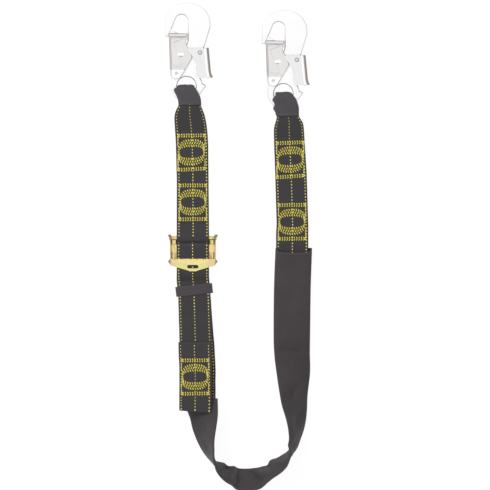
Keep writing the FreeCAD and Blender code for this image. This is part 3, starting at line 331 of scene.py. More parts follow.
def flat_tube(run, wall, depths, shape, half_round=30):
    """A flattened fabric tube, closed between its outer and inner skins at both mouths.

    depths is half the tube's thickness at each station; shape(index, x, rise) gives a point's
    shift along the up direction, along the run and outwards, for both skins.
    """
    size = 2 * half_round
    rings = len(run.middle)
    depths = np.ones(rings) * depths
    points, weave = [], []
    for inset in (0.0, wall):
        for index in range(rings):
            for k in range(size):
                turn = math.pi * k / half_round
                x = math.cos(turn)
                side = 1.0 if math.sin(turn) >= 0 else -1.0
                rise = side * abs(math.sin(turn)) ** BOXY
                lift, ahead, puff = shape(index, x, rise)
                reach = run.left[index] if x < 0 else run.right[index]
                base = run.middle[index] + run.across[index] * (x * (reach - inset))
                height = (depths[index] - inset + puff) * rise - run.bow[index] * x * x + lift
                points.append(above_table(base + run.up[index] * height + run.ahead[index] * ahead))
                weave.append((x * (run.left[index] + run.right[index]) / 2, run.at[index] + ahead))
    faces = ring_faces(rings, size)
    shift = rings * size
    faces += [tuple(shift + c for c in face[::-1]) for face in faces]
    for base, flip in ((0, False), ((rings - 1) * size, True)):
        for k in range(size):
            after = (k + 1) % size
            lip = (base + k, base + after, shift + base + after, shift + base + k)
            faces.append(lip[::-1] if flip else lip)
    return points, faces, weave


def unwoven(points, faces):
    """A shape that needs no weave coordinates."""
    return points, faces, [(0.0, 0.0)] * len(points)


def capped(rings, size):
    """The faces of an open tube of rings, with both ends filled."""
    last = (rings - 1) * size
    return ring_faces(rings, size) + [tuple(range(size))[::-1], tuple(range(last, last + size))]


def make_piece(name, shape, finish, body="webbing", replaces=()):
    """A mesh object of the lanyard, in metres, riding on its body."""
    points, faces, weave = shape
    mesh = bpy.data.meshes.new(name)
    mesh.from_pydata([tuple(p) for p in np.array(points) * MM], [], faces)
    layer = mesh.uv_layers.new(name="weave")
    corners = np.empty(len(mesh.loops), np.int32)
    mesh.loops.foreach_get("vertex_index", corners)
    layer.data.foreach_set("uv", (np.array(weave)[corners] * MM).astype(np.float32).ravel())
    build = bmesh.new()
    build.from_mesh(mesh)
    bmesh.ops.recalc_face_normals(build, faces=build.faces)
    build.to_mesh(mesh)
    build.free()
    mesh.polygons.foreach_set("use_smooth", [True] * len(mesh.polygons))
    mesh.materials.append(finish)
    if mesh.validate():
        raise RuntimeError(f"{name}: the mesh has faults")
    piece = bpy.data.objects.new(name, mesh)
    bpy.context.scene.collection.objects.link(piece)
    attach(piece, body)
    if replaces:
        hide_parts(*replaces)
    return piece


def grid_faces(rows, columns):
    """Quads over a grid of points, and the points round its rim."""
    wide = columns + 1
    starts = [j * wide + i for j in range(rows) for i in range(columns)]
    faces = [(here, here + 1, here + wide + 1, here + wide) for here in starts]
    rim = list(range(wide)) + [j * wide + columns for j in range(1, rows + 1)]
    rim += [rows * wide + i for i in range(columns - 1, -1, -1)] + [j * wide for j in range(rows - 1, 0, -1)]
    return faces, rim


def box_between(x0, x1, y0, y1, z0, z1):
    """A plain block between two corners."""
    points = [(x, y, z) for z in (z0, z1) for y in (y0, y1) for x in (min(x0, x1), max(x0, x1))]
    faces = [(0, 2, 3, 1), (4, 5, 7, 6), (0, 1, 5, 4), (2, 6, 7, 3), (0, 4, 6, 2), (1, 3, 7, 5)]
    return unwoven(points, faces)


def gather(shapes):
    """Several shapes as one."""
    points, faces, weave = [], [], []
    for some_points, some_faces, some_weave in shapes:
        base = len(points)
        points += list(some_points)
        faces += [tuple(base + c for c in face) for face in some_faces]
        weave += list(some_weave)
    return points, faces, weave


# ---------------------------------------------------------------- thread and tracer yarn

# The rings of one stitch: share of its length, swell of its radius and rise in radii.
STITCH_RINGS = [(0.0, 0.45, -0.75), (0.16, 0.92, 0.05), (0.5, 1.0, 0.45)]
STITCH_RINGS += [(1 - along, swell, rise) for along, swell, rise in STITCH_RINGS[1::-1]]
STITCH_SIDES = 6


def stitch(start, end, up, radius):
    """One stitch: a strand that rises out of the cloth and dips back into it."""
    ahead = end - start
    side = np.cross(up, ahead)
    side /= np.linalg.norm(side)
    points = []
    for along, swell, rise in STITCH_RINGS:
        centre = start + ahead * along + up * (radius * rise)
        for k in range(STITCH_SIDES):
            turn = 2 * math.pi * (k + 0.5) / STITCH_SIDES
            points.append(centre + (side * math.cos(turn) + up * math.sin(turn) * 0.85) * radius * swell)
    return unwoven(points, capped(len(STITCH_RINGS), STITCH_SIDES))


def stitch_row(line, stitch_long, sway, radius, put, seed=0):
    """A row of stitches along a plan line, each leaning to the other side of the one before."""
    marks = even_line(line, stitch_long)
    made = []
    for i, (one, other) in enumerate(zip(marks, marks[1:])):
        step = (other - one) / max(np.linalg.norm(other - one), 1e-9)
        beside = np.array([-step[1], step[0]])
        lean = sway * (1 if i % 2 else -1) * (1 + 0.25 * wander(i, seed, 0.7))
        base, up = put(one + step * 0.08 - beside * lean, 0.0)
        tip, _ = put(other - step * 0.08 + beside * lean, 0.0)
        made.append(stitch(base, tip, up, radius * (1 + 0.08 * wander(i, seed + 5, 0.9))))
    return made


def zigzag(first, second, pitch, advance, radius, put, seed):
    """Slanted stitches side by side between the two edges of a band, given point for point."""
    first, second = np.array(first, float), np.array(second, float)
    travelled = distances((first + second) / 2)
    marks = np.arange(pitch / 2, travelled[-1], pitch)
    made = []
    for i, mark in enumerate(marks):
        lean = abs(advance) * (1 + 0.12 * wander(i, seed, 0.9))
        ends = (mark - lean / 2, mark + lean / 2)[:: 1 if advance > 0 else -1]
        spots = [
            np.array([np.interp(end, travelled, column) for column in edge.T])
            for edge, end in zip((first, second), ends)
        ]
        wide = (spots[1] - spots[0]) * (0.07 + 0.05 * wander(i, seed + 2, 1.3))
        base, up = put(spots[0] - wide, 0.0)
        tip, _ = put(spots[1] + wide, 0.0)
        made.append(stitch(base, tip, up, radius * (1 + 0.10 * wander(i, seed + 5, 0.9))))
    return made


def shaded_backing(outer, inner, put, high):
    """A thin closed layer of crossed thread between an outer and an inner outline, coloured as the thread's
    painted shade between the stitches.
    """
    points = []
    for outline, rise in ((outer, -0.1), (outer, high), (inner, high), (inner, -0.1)):
        points += [put(spot, rise)[0] for spot in outline]
    return unwoven(points, ring_faces(4, len(outer), closed=True))


# A tracer dash: shares across and along, with the height of its three yarns.
DASH_ACROSS = [(-1.0, 0.0), (-0.72, 0.85), (-0.33, 0.6), (0.0, 1.0), (0.33, 0.6), (0.72, 0.85), (1.0, 0.0)]
DASH_ALONG = [(-1.0, 0.0), (-0.62, 0.9), (0.0, 1.0), (0.62, 0.9), (1.0, 0.0)]


def dash(run, distance, row, face, wide, long, raised):
    """One woven float of tracer yarn, a little proud of the webbing or of what is sewn on it."""
    half = (run.left[0] + run.right[0]) / 2
    skin = 0.48 * run.thick[0] + raised
    points = []
    for along, rise in DASH_ALONG:
        for across, bulge in DASH_ACROSS:
            narrow = 1 - 0.22 * abs(along) ** 3
            height = skin - 0.12 + 0.42 * rise * bulge
            aside = row + across * narrow * wide / 2 / half
            points.append(run.spot(distance + along * long / 2, aside, face * height))
    faces, rim = grid_faces(len(DASH_ALONG) - 1, len(DASH_ACROSS) - 1)
    return unwoven(points, faces + [tuple(rim[::-1])])


TRACER_ROWS = (-0.86, 0.016, 0.875)


def tracers(run, stretches, webbing, faces=(1, -1), sewn=(), rows=TRACER_ROWS):
    """Rows of tracer dashes over stretches of a strap, lifted where a stitch pattern covers them."""
    sizes = (webbing.tracer_pitch, webbing.tracer_wide, webbing.tracer_long)
    pitch, wide, long = (size / MM for size in sizes)
    made = []
    for low, high in stretches:
        for distance in np.arange(low + pitch / 2, high - pitch / 2, pitch):
            y = run.spot(distance, 0.0, 0.0)[1]
            raised = 0.75 if any(foot < y < top for foot, top in sewn) else 0.0
            made += [dash(run, distance, row, face, wide, long, raised) for row in rows for face in faces]
    return gather(made)


# ---------------------------------------------------------------- where things are

FLOOR_Z = -0.6  # the floor lies a hair under the table's level
HOOK_Z = 10.2  # middle of the hooks' thickness
EYES = {
    joint["name"].split("_")[0]: (joint["pos_m"][0] / MM, joint["pos_m"][1] / MM)
    for joint in frame["joints"]
    if joint["name"].endswith("hook_turn")
}
LOOP_MIDDLE = 7.4  # radius of the strap's middle round the eye
LOOP_OUTSIDE = 10.15  # radius of the guard's outside round the eye
LOOP_DROP = 7.6  # the loop's centre below the eye's centre
SEWN_DROP = 66.0  # where the plies meet, below the eye's centre
TOP_PLY = 6.15  # middle of the upper ply
LOW_PLY = 3.1  # middle of the lower ply
GUARD_SKIN = 1.3  # how far a guard reaches past the strap's edges
GATE_PIVOT = (-15.6, 19.8)  # the gate's pivot, from the eye
GATE_OUTER = 6.7  # outside of the gate's cheeks, from the hook's middle
LEVER_OUTER = 8.5  # outside of the lever's cheeks, from the hook's middle
BUCKLE_X = -70.3  # middle of the adjuster
TAIL_SLOPE = (30.2 - 4.9) / (257.0 - 104.0)  # rise of the tail towards its stop fold


def box_of(node):
    """The two corners of a node's box, in millimetres."""
    return [np.array(corner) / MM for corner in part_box(node)]


# Plan outlines of the guards from crest to hem, in the eye's frame, as left and right sides.
GUARD_SIDES = {
    "left": (
        [(-12.4, 3), (-13, 0.5), (-19.8, -4.3), (-17.8, -9), (-13.9, -14.5), (-11.3, -24.4), (-11.2, -29.1)],
        [(10.8, 3.0), (11.6, -1.0), (16.4, -9.5), (20.8, -17.8), (21.7, -27.7), (21.8, -29.1)],
    ),
    "right": (
        [(-11.6, 3.0), (-11.6, 1.0), (-15.2, -11.1), (-12.7, -18.1), (-14.2, -24.9), (-9.7, -34.8)],
        [(11.6, 3.0), (12.4, 0.0), (20.0, -12.1), (22.9, -21.1), (22.9, -34.8)],
    ),
}
HEM = {"left": -29.1, "right": -34.8}
# Plan outlines of the hook straps below their guards, as left and right edges.
STRAP_SIDES = {
    "left": (
        [(-91.4, 217.5), (-95.6, 212), (-98.4, 204), (-99.1, 197.5), (-98, 180), (-96.6, 158), (-95.2, 103)],
        [(-58.4, 217.5), (-55.2, 210.5), (-52, 202), (-49.4, 190), (-47.6, 175), (-46.6, 158), (-46, 103)],
    ),
    "right": (
        [(59.9, 200.5), (59, 195), (56.4, 188), (54.9, 180), (55.2, 165), (57.1, 110.5), (59.4, 32.4)],
        [(92, 200.5), (97.4, 195.5), (100.6, 189.5), (101.8, 178), (102.6, 165), (106, 110.5), (108.3, 32.4)],
    ),
}
STRAP_FEET = {"left": (-95.3, -45.3), "right": (58.4, 108.4)}

# The two edges of the long strap's sleeve from its upper mouth round the bend to the adjuster:
# X and Y of the raised edge, then X and Y of the edge on the table.
RAILS = [
    (57.6, -3.3, 114.2, -3.3),
    (55.1, -62.8, 112.4, -62.8),
    (54.6, -129.4, 111.3, -129.4),
    (55.6, -165.8, 110.8, -165.8),
    (59.6, -198.8, 111.3, -197.3),
    (65.0, -230.2, 107.6, -225.4),
    (72.3, -258.7, 106.2, -252.5),
    (77.9, -282.7, 102.6, -277.0),
    (78.7, -298.2, 96.2, -297.0),
    (80.2, -314.0, 87.4, -316.0),
    (80.6, -327.5, 71.8, -322.5),
    (74.6, -341.6, 60.2, -328.8),
    (62.6, -353.6, 51.0, -331.8),
    (46.2, -365.0, 41.6, -339.6),
    (33.2, -375.8, 27.9, -344.6),
    (15.5, -378.6, 11.1, -345.4),
    (-2.8, -377.0, -2.8, -344.4),
    (-14.8, -368.6, -12.6, -340.6),
    (-26.6, -358.0, -22.3, -336.6),
    (-34.6, -345.6, -31.6, -334.8),
    (-38.4, -329.4, -41.6, -332.0),
    (-38.8, -312.8, -53.9, -318.3),
    (-36.9, -295.1, -63.4, -301.8),
    (-34.2, -278.0, -70.2, -284.8),
    (-32.2, -259.4, -74.6, -266.0),
    (-31.9, -238.5, -84.1, -241.6),
    (-31.6, -216.0, -88.6, -216.0),
    (-31.5, -192.0, -88.5, -192.0),
    (-33.5, -153.0, -90.5, -153.0),
    (-36.3, -120.0, -93.3, -120.0),
    (-39.4, -76.0, -96.4, -76.0),
    (-41.8, -56.0, -98.8, -56.0),
    (-41.8, -44.0, -98.8, -44.0),
]
SLEEVE_LAST = 25.1  # the sleeve's lower mouth, behind the tail
SLEEVE_HALF = 28.5  # half its flat width
SLEEVE_DEPTH = 3.1  # half its thickness where it lies flat
TACKS = (-31.5, -42.0, -123.0, -133.0)  # Y of the tacks across the tear webbing
TACK_ROWS = (-2.7, -0.9, 0.9, 2.7)
KEEPER_AT = (-68.3, -68.2, 4.75)
KEEPER_TURN = math.radians(6.1)
KEEPER_HALF = 7.65  # half its length along the strap
KEEPER_REACH = 28.6  # half its width across the strap
# The middle of the tail in plan, from the adjuster to its stop fold.
TAIL_MIDDLES = [(-70.3, 22.0), (-70.3, -48.0), (-68.3, -68.2), (-66.0, -149.0), (-66.5, -262.0)]

# Creases of the sleeve: station along the rails, share across, slope, half width, depth and reach across.
CREASES = [
    (4.9, 0.1, 0.75, 0.55, 2.6, 0.9),
    (6.3, -0.2, 0.9, 0.6, 1.6, 0.7),
    (7.6, 0.4, 0.4, 0.45, -1.4, 0.6),
    (8.7, 0.7, 0.2, 0.35, 1.2, 0.5),
    (11.2, 0.1, -1.1, 0.5, 1.3, 0.9),
    (12.6, -0.7, -0.6, 0.38, -2.6, 0.5),
    (13.3, 0.0, -0.9, 0.42, 2.4, 0.8),
    (16.5, 0.0, 0.1, 0.42, 2.4, 1.3),
    (17.5, -0.6, 0.5, 0.45, -2.2, 0.6),
    (18.8, 0.2, 0.8, 0.5, 1.4, 0.8),
    (21.2, 0.3, -0.7, 0.6, 1.2, 0.8),
    (23.2, 0.0, 0.5, 0.7, 1.0, 0.9),
]


def crease_wave(station, share_across):
    """How far the sleeve dents at a place along and across it."""
    dent = 0.0
    for at, across, slope, wide, depth, reach in CREASES:
        along = (station - at - slope * (share_across - across)) / wide
        if abs(along) < 3:
            dent -= depth * math.exp(-along * along) * math.exp(-(((share_across - across) / reach) ** 2))
    return dent


def edges_at(side, y):
    """Left and right edges of a hook strap at a height on the plan."""
    eye_x, eye_y = EYES[side]
    found = []
    for guard_edge, strap_edge, foot in zip(GUARD_SIDES[side], STRAP_SIDES[side], STRAP_FEET[side]):
        line = [(eye_y + b, eye_x + a) for a, b in guard_edge]
        line += [(b, a) for a, b in strap_edge]
        line += [(20.0, foot), (-60.0, foot)]
        line.sort()
        found.append(float(np.interp(y, [p[0] for p in line], [p[1] for p in line])))
    return found


def loop_round_eye(side):
    """Corners of a strap's side view round the eye, from the back hem to the front one."""
    crest = EYES[side][1] - LOOP_DROP + LOOP_MIDDLE
    hem = EYES[side][1] + HEM[side]
    low, high = HOOK_Z - LOOP_MIDDLE, HOOK_Z + LOOP_MIDDLE
    return [(hem, low, 60.0), (crest, low, LOOP_MIDDLE), (crest, high, LOOP_MIDDLE), (hem, high, 40.0)]


def side_run(side, line, thick, closed=False, narrow=0.0):
    """A hook strap or guard as a run, from its side view and the strap's plan outline."""
    eye_y = EYES[side][1]
    centre = eye_y - LOOP_DROP
    edges, bow = [], []
    for y, z in line:
        seen = centre + (y - centre) * LOOP_OUTSIDE / LOOP_MIDDLE if y > centre else y
        low, high = edges_at(side, seen)
        edges.append((low + narrow, high - narrow))
        gathered = max(0.0, 1 - (high - low) / 50.0)
        bow.append(-9.0 * gathered * smooth((eye_y - 21.0 - y) / 8.0))
    edges = softened(edges, closed)
    middle = [(sum(pair) / 2, y, z) for pair, (y, z) in zip(edges, line)]
    half = (edges[:, 1] - edges[:, 0]) / 2
    return Run(middle, (1, 0, 0), half, half, thick, softened(bow, closed), closed)


def softened(values, closed, rounds=2):
    """Takes the corners off a row of values."""
    values = np.array(values, float)
    for _ in range(rounds):
        soft = (np.roll(values, 1, 0) + 2 * values + np.roll(values, -1, 0)) / 4
        if not closed:
            soft[0], soft[-1] = values[0], values[-1]
        values = soft
    return values


def spline(values, marks):
    """Catmull-Rom values at marks along evenly numbered stations."""
    table = np.array(values, float)
    out = []
    for mark in marks:
        i = int(min(max(math.floor(mark), 0), len(table) - 2))
        t = mark - i
        a, b, c, d = (table[min(max(i + k, 0), len(table) - 1)] for k in (-1, 0, 1, 2))
        out.append(
            0.5 * (2 * b + (c - a) * t + (2 * a - 5 * b + 4 * c - d) * t**2 + (3 * b - a - 3 * c + d) * t**3)
        )
    return np.array(out)


def route_run(first, last, spacing, half, thick):
    """The banked webbing or its sleeve between two stations of the rails."""
    stations = np.linspace(first, last, int((last - first) * 24) + 1)
    fine = spline(RAILS, stations)
    travelled = distances((fine[:, :2] + fine[:, 2:]) / 2)
    count = max(int(travelled[-1] / spacing), 2)
    marks = np.linspace(0, travelled[-1], count + 1)
    raised_x, raised_y, low_x, low_y = (np.interp(marks, travelled, column) for column in fine.T)
    plan = np.stack([raised_x - low_x, raised_y - low_y], axis=1) / (2 * SLEEVE_HALF)
    flat = np.clip(np.linalg.norm(plan, axis=1), 0, 1)
    steep = softened(np.sqrt(1 - flat**2), False, 8)
    across = np.column_stack([plan, steep])
    across /= np.linalg.norm(across, axis=1)[:, None]
    lift = SLEEVE_HALF * steep + SLEEVE_DEPTH * flat
    middle = np.stack([(raised_x + low_x) / 2, (raised_y + low_y) / 2, lift], axis=1)
    run = Run(middle, across, half, half, thick)
    run.station = np.interp(marks, travelled, stations)
    return run


# ---------------------------------------------------------------- the gates' relief

# The lever's outer edge from its lower end to its top, in the eye's frame.
THUMB_EDGE = [(39.5, 13.3), (37.6, 21.9), (34.2, 59.0)]

# The rib across a gate: stations across it and share of its height, sides, and how far above the pivot.
RIB = [(-12.4, 0.25), (-11.9, 0.8), (-10.6, 1.0), (14.6, 1.0), (16.1, 0.9), (16.7, 0.3)]
RIB_SIDES = 12
RIB_Y = 59.1

# Left and right edges of the gate's panel and beak against height, round the gate's pivot.
PANEL_EDGES = (
    [(-8.7, -1.5), (-8, -4.2), (-6.2, -6.6), (-3, -7.8), (0, -8.1), (4.2, -7.8), (30, -8.6), (55.8, -9.5)],
    [(-8.7, 1.5), (-8, 3.9), (-5.8, 6.6), (23.6, 24.1), (26.2, 24.1)]
    + [(38.3, 18.6), (45.2, 14.6), (55.8, 14.9)],
)
FOOT_EDGES = (
    [(-8.6, -1.2), (-7.9, -3.9), (-6.1, -6.3), (-3.0, -7.5), (0.0, -7.8), (5.8, -7.4)],
    [(-8.6, 1.2), (-7.9, 3.6), (-5.8, 6.0), (5.8, 13.2)],
)
WINDOW_EDGES = ([(26.4, 2.0), (32.2, 1.4)], [(26.4, 12.0), (32.2, 12.2)])
SLOT_EDGES = ([(25.6, 5.0), (27.2, 4.4)], [(25.6, 8.6), (27.2, 8.8)])
BEAK_EDGES = ([(62.0, -10.0), (67.6, -8.9)], [(62.0, 3.0), (63.6, -0.6), (67.6, -7.6)])


def panel_height(x, y, inside):
    """Relief of the gate's panel: raised foot, pocket above it, low where the lever passes over."""
    foot = 8.3 + 5.6 * min(1.0, abs(x - 2.0) / 11.5) ** 2
    roll = 0.62 * float(smooth((foot - y) / 2.4))
    pocket = 0.62 * math.exp(-(((y - foot - 1.6) / 1.25) ** 2)) * float(smooth((14.0 - x) / 6.0))
    body = 0.6 - pocket + 0.25 * float(smooth((y - 44.0) / 6.0))
    groove = 1.1 * math.exp(-(((y - 54.3) / 1.2) ** 2)) * float(smooth((9.0 - x) / 14.0))
    window = 0.5 * float(smooth(1.2 - max(abs(x - 6.6) - 5.0, abs(y - 28.8) - 2.0)))
    rise = 0.1 + body * (1 - roll) + 0.7 * roll - groove * 0.7 - window * 0.5
    turn = math.radians(25.0)
    swung_x = x * math.cos(turn) + y * math.sin(turn) + GATE_PIVOT[0]
    swung_y = y * math.cos(turn) - x * math.sin(turn) + GATE_PIVOT[1]
    under_lever = float(smooth((swung_x + 3.0) / 4.0)) * float(smooth((66.0 - swung_y) / 3.0))
    return 0.04 + float(smooth(inside / 0.6)) * (rise * (1 - under_lever) + 0.08 * under_lever)


def foot_height(x, y, inside):
    """The foot of the gate, round the rivet; it is given the forging's brighter finish."""
    return panel_height(x, y, inside + 1.0) + 0.1 * float(smooth(inside / 0.8))


def beak_height(x, y, inside):
    """The sloping facet of the gate's beak."""
    return 0.1 + float(smooth(inside / 0.8)) * (0.9 + 0.12 * (x + 10.0) - 0.10 * (y - 62.0))


def window_height(x, y, inside):
    """The bright window that is pressed into the panel."""
    return 0.3 + 0.35 * float(smooth(inside / 0.5))


def slot_height(x, y, inside):
    """The dark slot in the window; its dark colour is painted shade."""
    return 0.45 + 0.3 * float(smooth(inside / 0.3))


def pressed_sheet(edges, high, x, y, face):
    """A thin pressed skin on a cheek: heights over a grid between a left and a right edge."""
    low_y, high_y = edges[0][0][0] + 0.05, edges[0][-1][0]
    rows = max(int((high_y - low_y) / 0.8), 6)
    columns = 30
    heights = np.linspace(low_y, high_y, rows + 1)
    left, right = (np.interp(heights, [p[0] for p in edge], [p[1] for p in edge]) for edge in edges)
    top, base = [], []
    for j, dy in enumerate(heights):
        for i in range(columns + 1):
            dx = left[j] + (right[j] - left[j]) * i / columns
            inside = min(dx - left[j], right[j] - dx, dy - low_y + 0.4, high_y - dy)
            rise = high(dx, dy, max(inside, 0.0))
            top.append((x + dx, y + dy, HOOK_Z + face * (GATE_OUTER + rise)))
            base.append((x + dx, y + dy, HOOK_Z + face * (GATE_OUTER - 0.6)))
    faces, rim = grid_faces(rows, columns)
    shift = len(top)
    faces += [tuple(shift + c for c in quad[::-1]) for quad in faces]
    faces += [(there, here, shift + here, shift + there) for here, there in zip(rim, rim[1:] + rim[:1])]
    return unwoven(top + base, faces)


# ---------------------------------------------------------------- stitch patterns

# Each stitch pattern: its share of the tail's lean, the plies it holds, how far it sits aside,
# and the tilts of its upper and lower bars in degrees.
PATTERNS = {
    "left_upper": (0.0, 6.0, -0.9, 0.9, 3.0),
    "left_lower": (0.0, 6.0, 0.0, 0.4, 0.8),
    "right_upper": (0.0, 6.0, 0.2, 2.2, 4.2),
    "right_lower": (0.0, 6.0, 0.0, 0.8, 0.6),
    "tail": (-1.0, 6.1, 0.0, 0.4, 0.8),
}
OVAL_SIDE = 0.62  # half angle of the thick stitches at the oval's two sides
SEWN_BANDS = ((8.5, 20.0), (23.2, 29.0))  # what its threads cover, as distances from its middle
BAR_HALF = 21.6  # half length of a bar
BAR_MIDDLE = 26.1  # a bar's distance from the pattern's middle
BAR_CORNER = [(21.4, 24.2), (20.4, 22.9), (10.0, 22.8)]
BAR_FOOT = [(-x, y) for x, y in BAR_CORNER] + [(0.0, 22.8)] + BAR_CORNER[::-1]
BAR_OUTLINE = BAR_FOOT + [(-x, 2 * BAR_MIDDLE - y) for x, y in BAR_FOOT]


def tilted(x, y, angle):
    """A point of a pattern, higher or lower as its row slants."""
    return x, y + x * math.tan(angle)


def oval_point(share_out, angle, tilt):
    """A point of the oval, from its opening (0) to its outside (1)."""
    half_wide = 18.3 + 3.3 * share_out
    half_high = 8.1 + 12.6 * share_out
    power = 2 / (2.75 - 0.05 * share_out)  # 1 would be an ellipse, less has fuller corners
    c, d = math.cos(angle), math.sin(angle)
    x = half_wide * math.copysign(abs(c) ** power, c)
    y = half_high * math.copysign(abs(d) ** power, d)
    return tilted(x, y, tilt)


def sewn_stretches(names):
    """Where along Y the threads of some stitch patterns cover the webbing."""
    found = []
    for name in names:
        low, high = box_of(f"{name}_stitching")
        middle = (low[1] + high[1]) / 2
        for side in (1, -1):
            for near, far in SEWN_BANDS:
                found.append(tuple(sorted((middle + side * near, middle + side * far))))
    return found


# ---------------------------------------------------------------- node groups and finishes

WHITE = (1.0, 1.0, 1.0)


def place(tree, kind, inputs=None, **settings):
    """A node with its settings, and with values or links on its inputs."""
    node = tree.nodes.new(kind)
    for name, value in settings.items():
        setattr(node, name, value)
    for name, value in (inputs or {}).items():
        give(tree, node.inputs[name], value)
    return node


def give(tree, socket, value):
    """Links an output to a socket, or sets a plain value on it; colours are three numbers."""
    if isinstance(value, bpy.types.NodeSocket):
        tree.links.new(value, socket)
    elif socket.type == "RGBA":
        socket.default_value = (*value[:3], 1.0)
    else:
        socket.default_value = value


def math_of(tree, operation, *values):
    """The result of a Math node."""
    return place(tree, "ShaderNodeMath", dict(enumerate(values)), operation=operation).outputs[0]


def times(tree, first, second):
    return math_of(tree, "MULTIPLY", first, second)


def ramp(tree, value, start, end):
    """0 to 1 while a value goes from start to end, in either direction."""
    return place(tree, "ShaderNodeMapRange", {"Value": value, "From Min": start, "From Max": end}).outputs[0]


def noise_of(tree, where, scale, detail, **more):
    inputs = {"Vector": where, "Scale": scale, "Detail": detail, **more}
    return place(tree, "ShaderNodeTexNoise", inputs).outputs[0]


def blend_of(tree, factor, first, second):
    """A colour mix."""
    return place(tree, "ShaderNodeMix", {0: factor, 6: first, 7: second}, data_type="RGBA").outputs[2]


def object_space(tree):
    return place(tree, "ShaderNodeTexCoord").outputs["Object"]


def stretched(tree, where, scale):
    return place(tree, "ShaderNodeMapping", {"Vector": where, "Scale": scale}).outputs[0]


def bump_of(tree, height, strength, distance):
    inputs = {"Height": height, "Strength": strength, "Distance": distance}
    return place(tree, "ShaderNodeBump", inputs).outputs[0]


def slope_of(tree, flat, steep):
    """A mask that grows from level faces to upright ones, used to paint a dark reflection on upright faces.
    """
    normal = place(tree, "ShaderNodeNewGeometry").outputs["Normal"]
    facing = place(tree, "ShaderNodeSeparateXYZ", {0: normal}).outputs[2]
    return ramp(tree, math_of(tree, "ABSOLUTE", facing), flat, steep)


def scaled(tone, *shares):
    """A colour times one share, or times a share for each of its channels."""
    shares = shares * 3 if len(shares) == 1 else shares
    return tuple(min(channel * kept, 1.0) for channel, kept in zip(tone, shares))


def shared_group(name, inputs, build):
    """A node group that is built once: inputs with defaults, and outputs as build returns them."""
    if name in bpy.data.node_groups:
        return bpy.data.node_groups[name]
    group = bpy.data.node_groups.new(name, "ShaderNodeTree")
    for label, default in inputs.items():
        socket = group.interface.new_socket(name=label, in_out="INPUT", socket_type="NodeSocketFloat")
        socket.default_value = default
    made = build(group, group.nodes.new("NodeGroupInput").outputs)
    for label in made:
        group.interface.new_socket(name=label, in_out="OUTPUT", socket_type="NodeSocketFloat")
    result = group.nodes.new("NodeGroupOutput").inputs
    for label, value in made.items():
        group.links.new(value, result[label])
    return group


def weave_group():
    """Warp cords and weft picks of a woven cloth, from its weave coordinates."""

    def build(group, given):
        coordinates = place(group, "ShaderNodeUVMap", uv_map="weave").outputs[0]
        parts = place(group, "ShaderNodeSeparateXYZ", {0: coordinates})
        cords = math_of(group, "DIVIDE", parts.outputs[0], given["Cord Pitch"])
        picks = math_of(group, "DIVIDE", parts.outputs[1], given["Pick Pitch"])
        parity = math_of(group, "MODULO", math_of(group, "FLOOR", cords), 2.0)
        staggered = math_of(group, "ADD", picks, times(group, parity, given["Stagger"]))
        cord_wave, pick_wave = (
            math_of(group, "ABSOLUTE", math_of(group, "SINE", times(group, phase, math.pi)))
            for phase in (cords, staggered)
        )
        height = times(group, cord_wave, math_of(group, "MULTIPLY_ADD", pick_wave, 0.45, 0.55))
        return {"Height": height, "Shade": math_of(group, "MULTIPLY_ADD", height, 0.35, 0.75)}

    return shared_group("Weave", {"Cord Pitch": 0.0016, "Pick Pitch": 0.0011, "Stagger": 0.5}, build)


def cloth_tone_group():
    """Slow fading and fine fuzz that keep a cloth from one flat tone."""

    def build(group, given):
        where = object_space(group)
        patches = noise_of(group, where, given["Patch Scale"], 4.0)
        fibres = noise_of(group, where, 1500.0, 3.0)
        slow = times(group, math_of(group, "SUBTRACT", patches, 0.5), given["Fading"])
        fine = times(group, math_of(group, "SUBTRACT", fibres, 0.5), given["Fuzz"])
        total = math_of(group, "ADD", math_of(group, "ADD", slow, fine), 1.0)
        return {"Tone": total, "Fibre": fibres}

    return shared_group("Cloth Tone", {"Fading": 0.14, "Fuzz": 0.18, "Patch Scale": 26.0}, build)


def edge_and_hollow_shade_group():
    """A mask along raised edges and in hollows, broken up by grain; the hollow mask is used to paint shade in
    creases, recesses and between strands.
    """

    def build(group, given):
        point = place(group, "ShaderNodeNewGeometry").outputs["Pointiness"]
        grain = noise_of(group, object_space(group), given["Grain Scale"], 5.0)
        broken = math_of(group, "MULTIPLY_ADD", math_of(group, "SUBTRACT", grain, 0.5), given["Grain"], point)
        masks = ("Edge", "Hollow")
        return {mask: ramp(group, broken, given[f"{mask} Start"], given[f"{mask} End"]) for mask in masks}

    inputs = {"Edge Start": 0.52, "Edge End": 0.60, "Hollow Start": 0.48, "Hollow End": 0.42}
    return shared_group("Raised Edge and Hollow Shade", {**inputs, "Grain Scale": 500.0, "Grain": 0.02}, build)


def grain_group():
    """Fine pitting, brushing and cloudiness of a plated surface."""

    def build(group, given):
        where = object_space(group)
        drawn = stretched(group, where, (2600.0, 90.0, 300.0))
        return {
            "Cloud": noise_of(group, where, given["Cloud Scale"], 5.0),
            "Pits": noise_of(group, where, given["Pit Scale"], 3.0),
            "Brushing": times(group, noise_of(group, drawn, 1.0, 2.0), given["Brush"]),
        }

    return shared_group("Plating Grain", {"Pit Scale": 900.0, "Cloud Scale": 45.0, "Brush": 0.4}, build)


def grouped(tree, group, **values):
    """A placed node group; underscores in the names stand for spaces."""
    node = tree.nodes.new("ShaderNodeGroup")
    node.node_tree = group
    for name, value in values.items():
        node.inputs[name.replace("_", " ")].default_value = value
    return node.outputs


def finish_of(name, build, **constants):
    """A material by its name, made over if it is there: constants on its shader, the rest linked."""
    finish = bpy.data.materials.get(name) or bpy.data.materials.new(name)
    finish.use_nodes = True
    tree = finish.node_tree
    tree.nodes.clear()
    shader = tree.nodes.new("ShaderNodeBsdfPrincipled")
    for socket, value in {**constants, **build(tree)}.items():
        give(tree, shader.inputs[socket.replace("_", " ")], value)
    place(tree, "ShaderNodeOutputMaterial", {"Surface": shader.outputs[0]})
    return finish


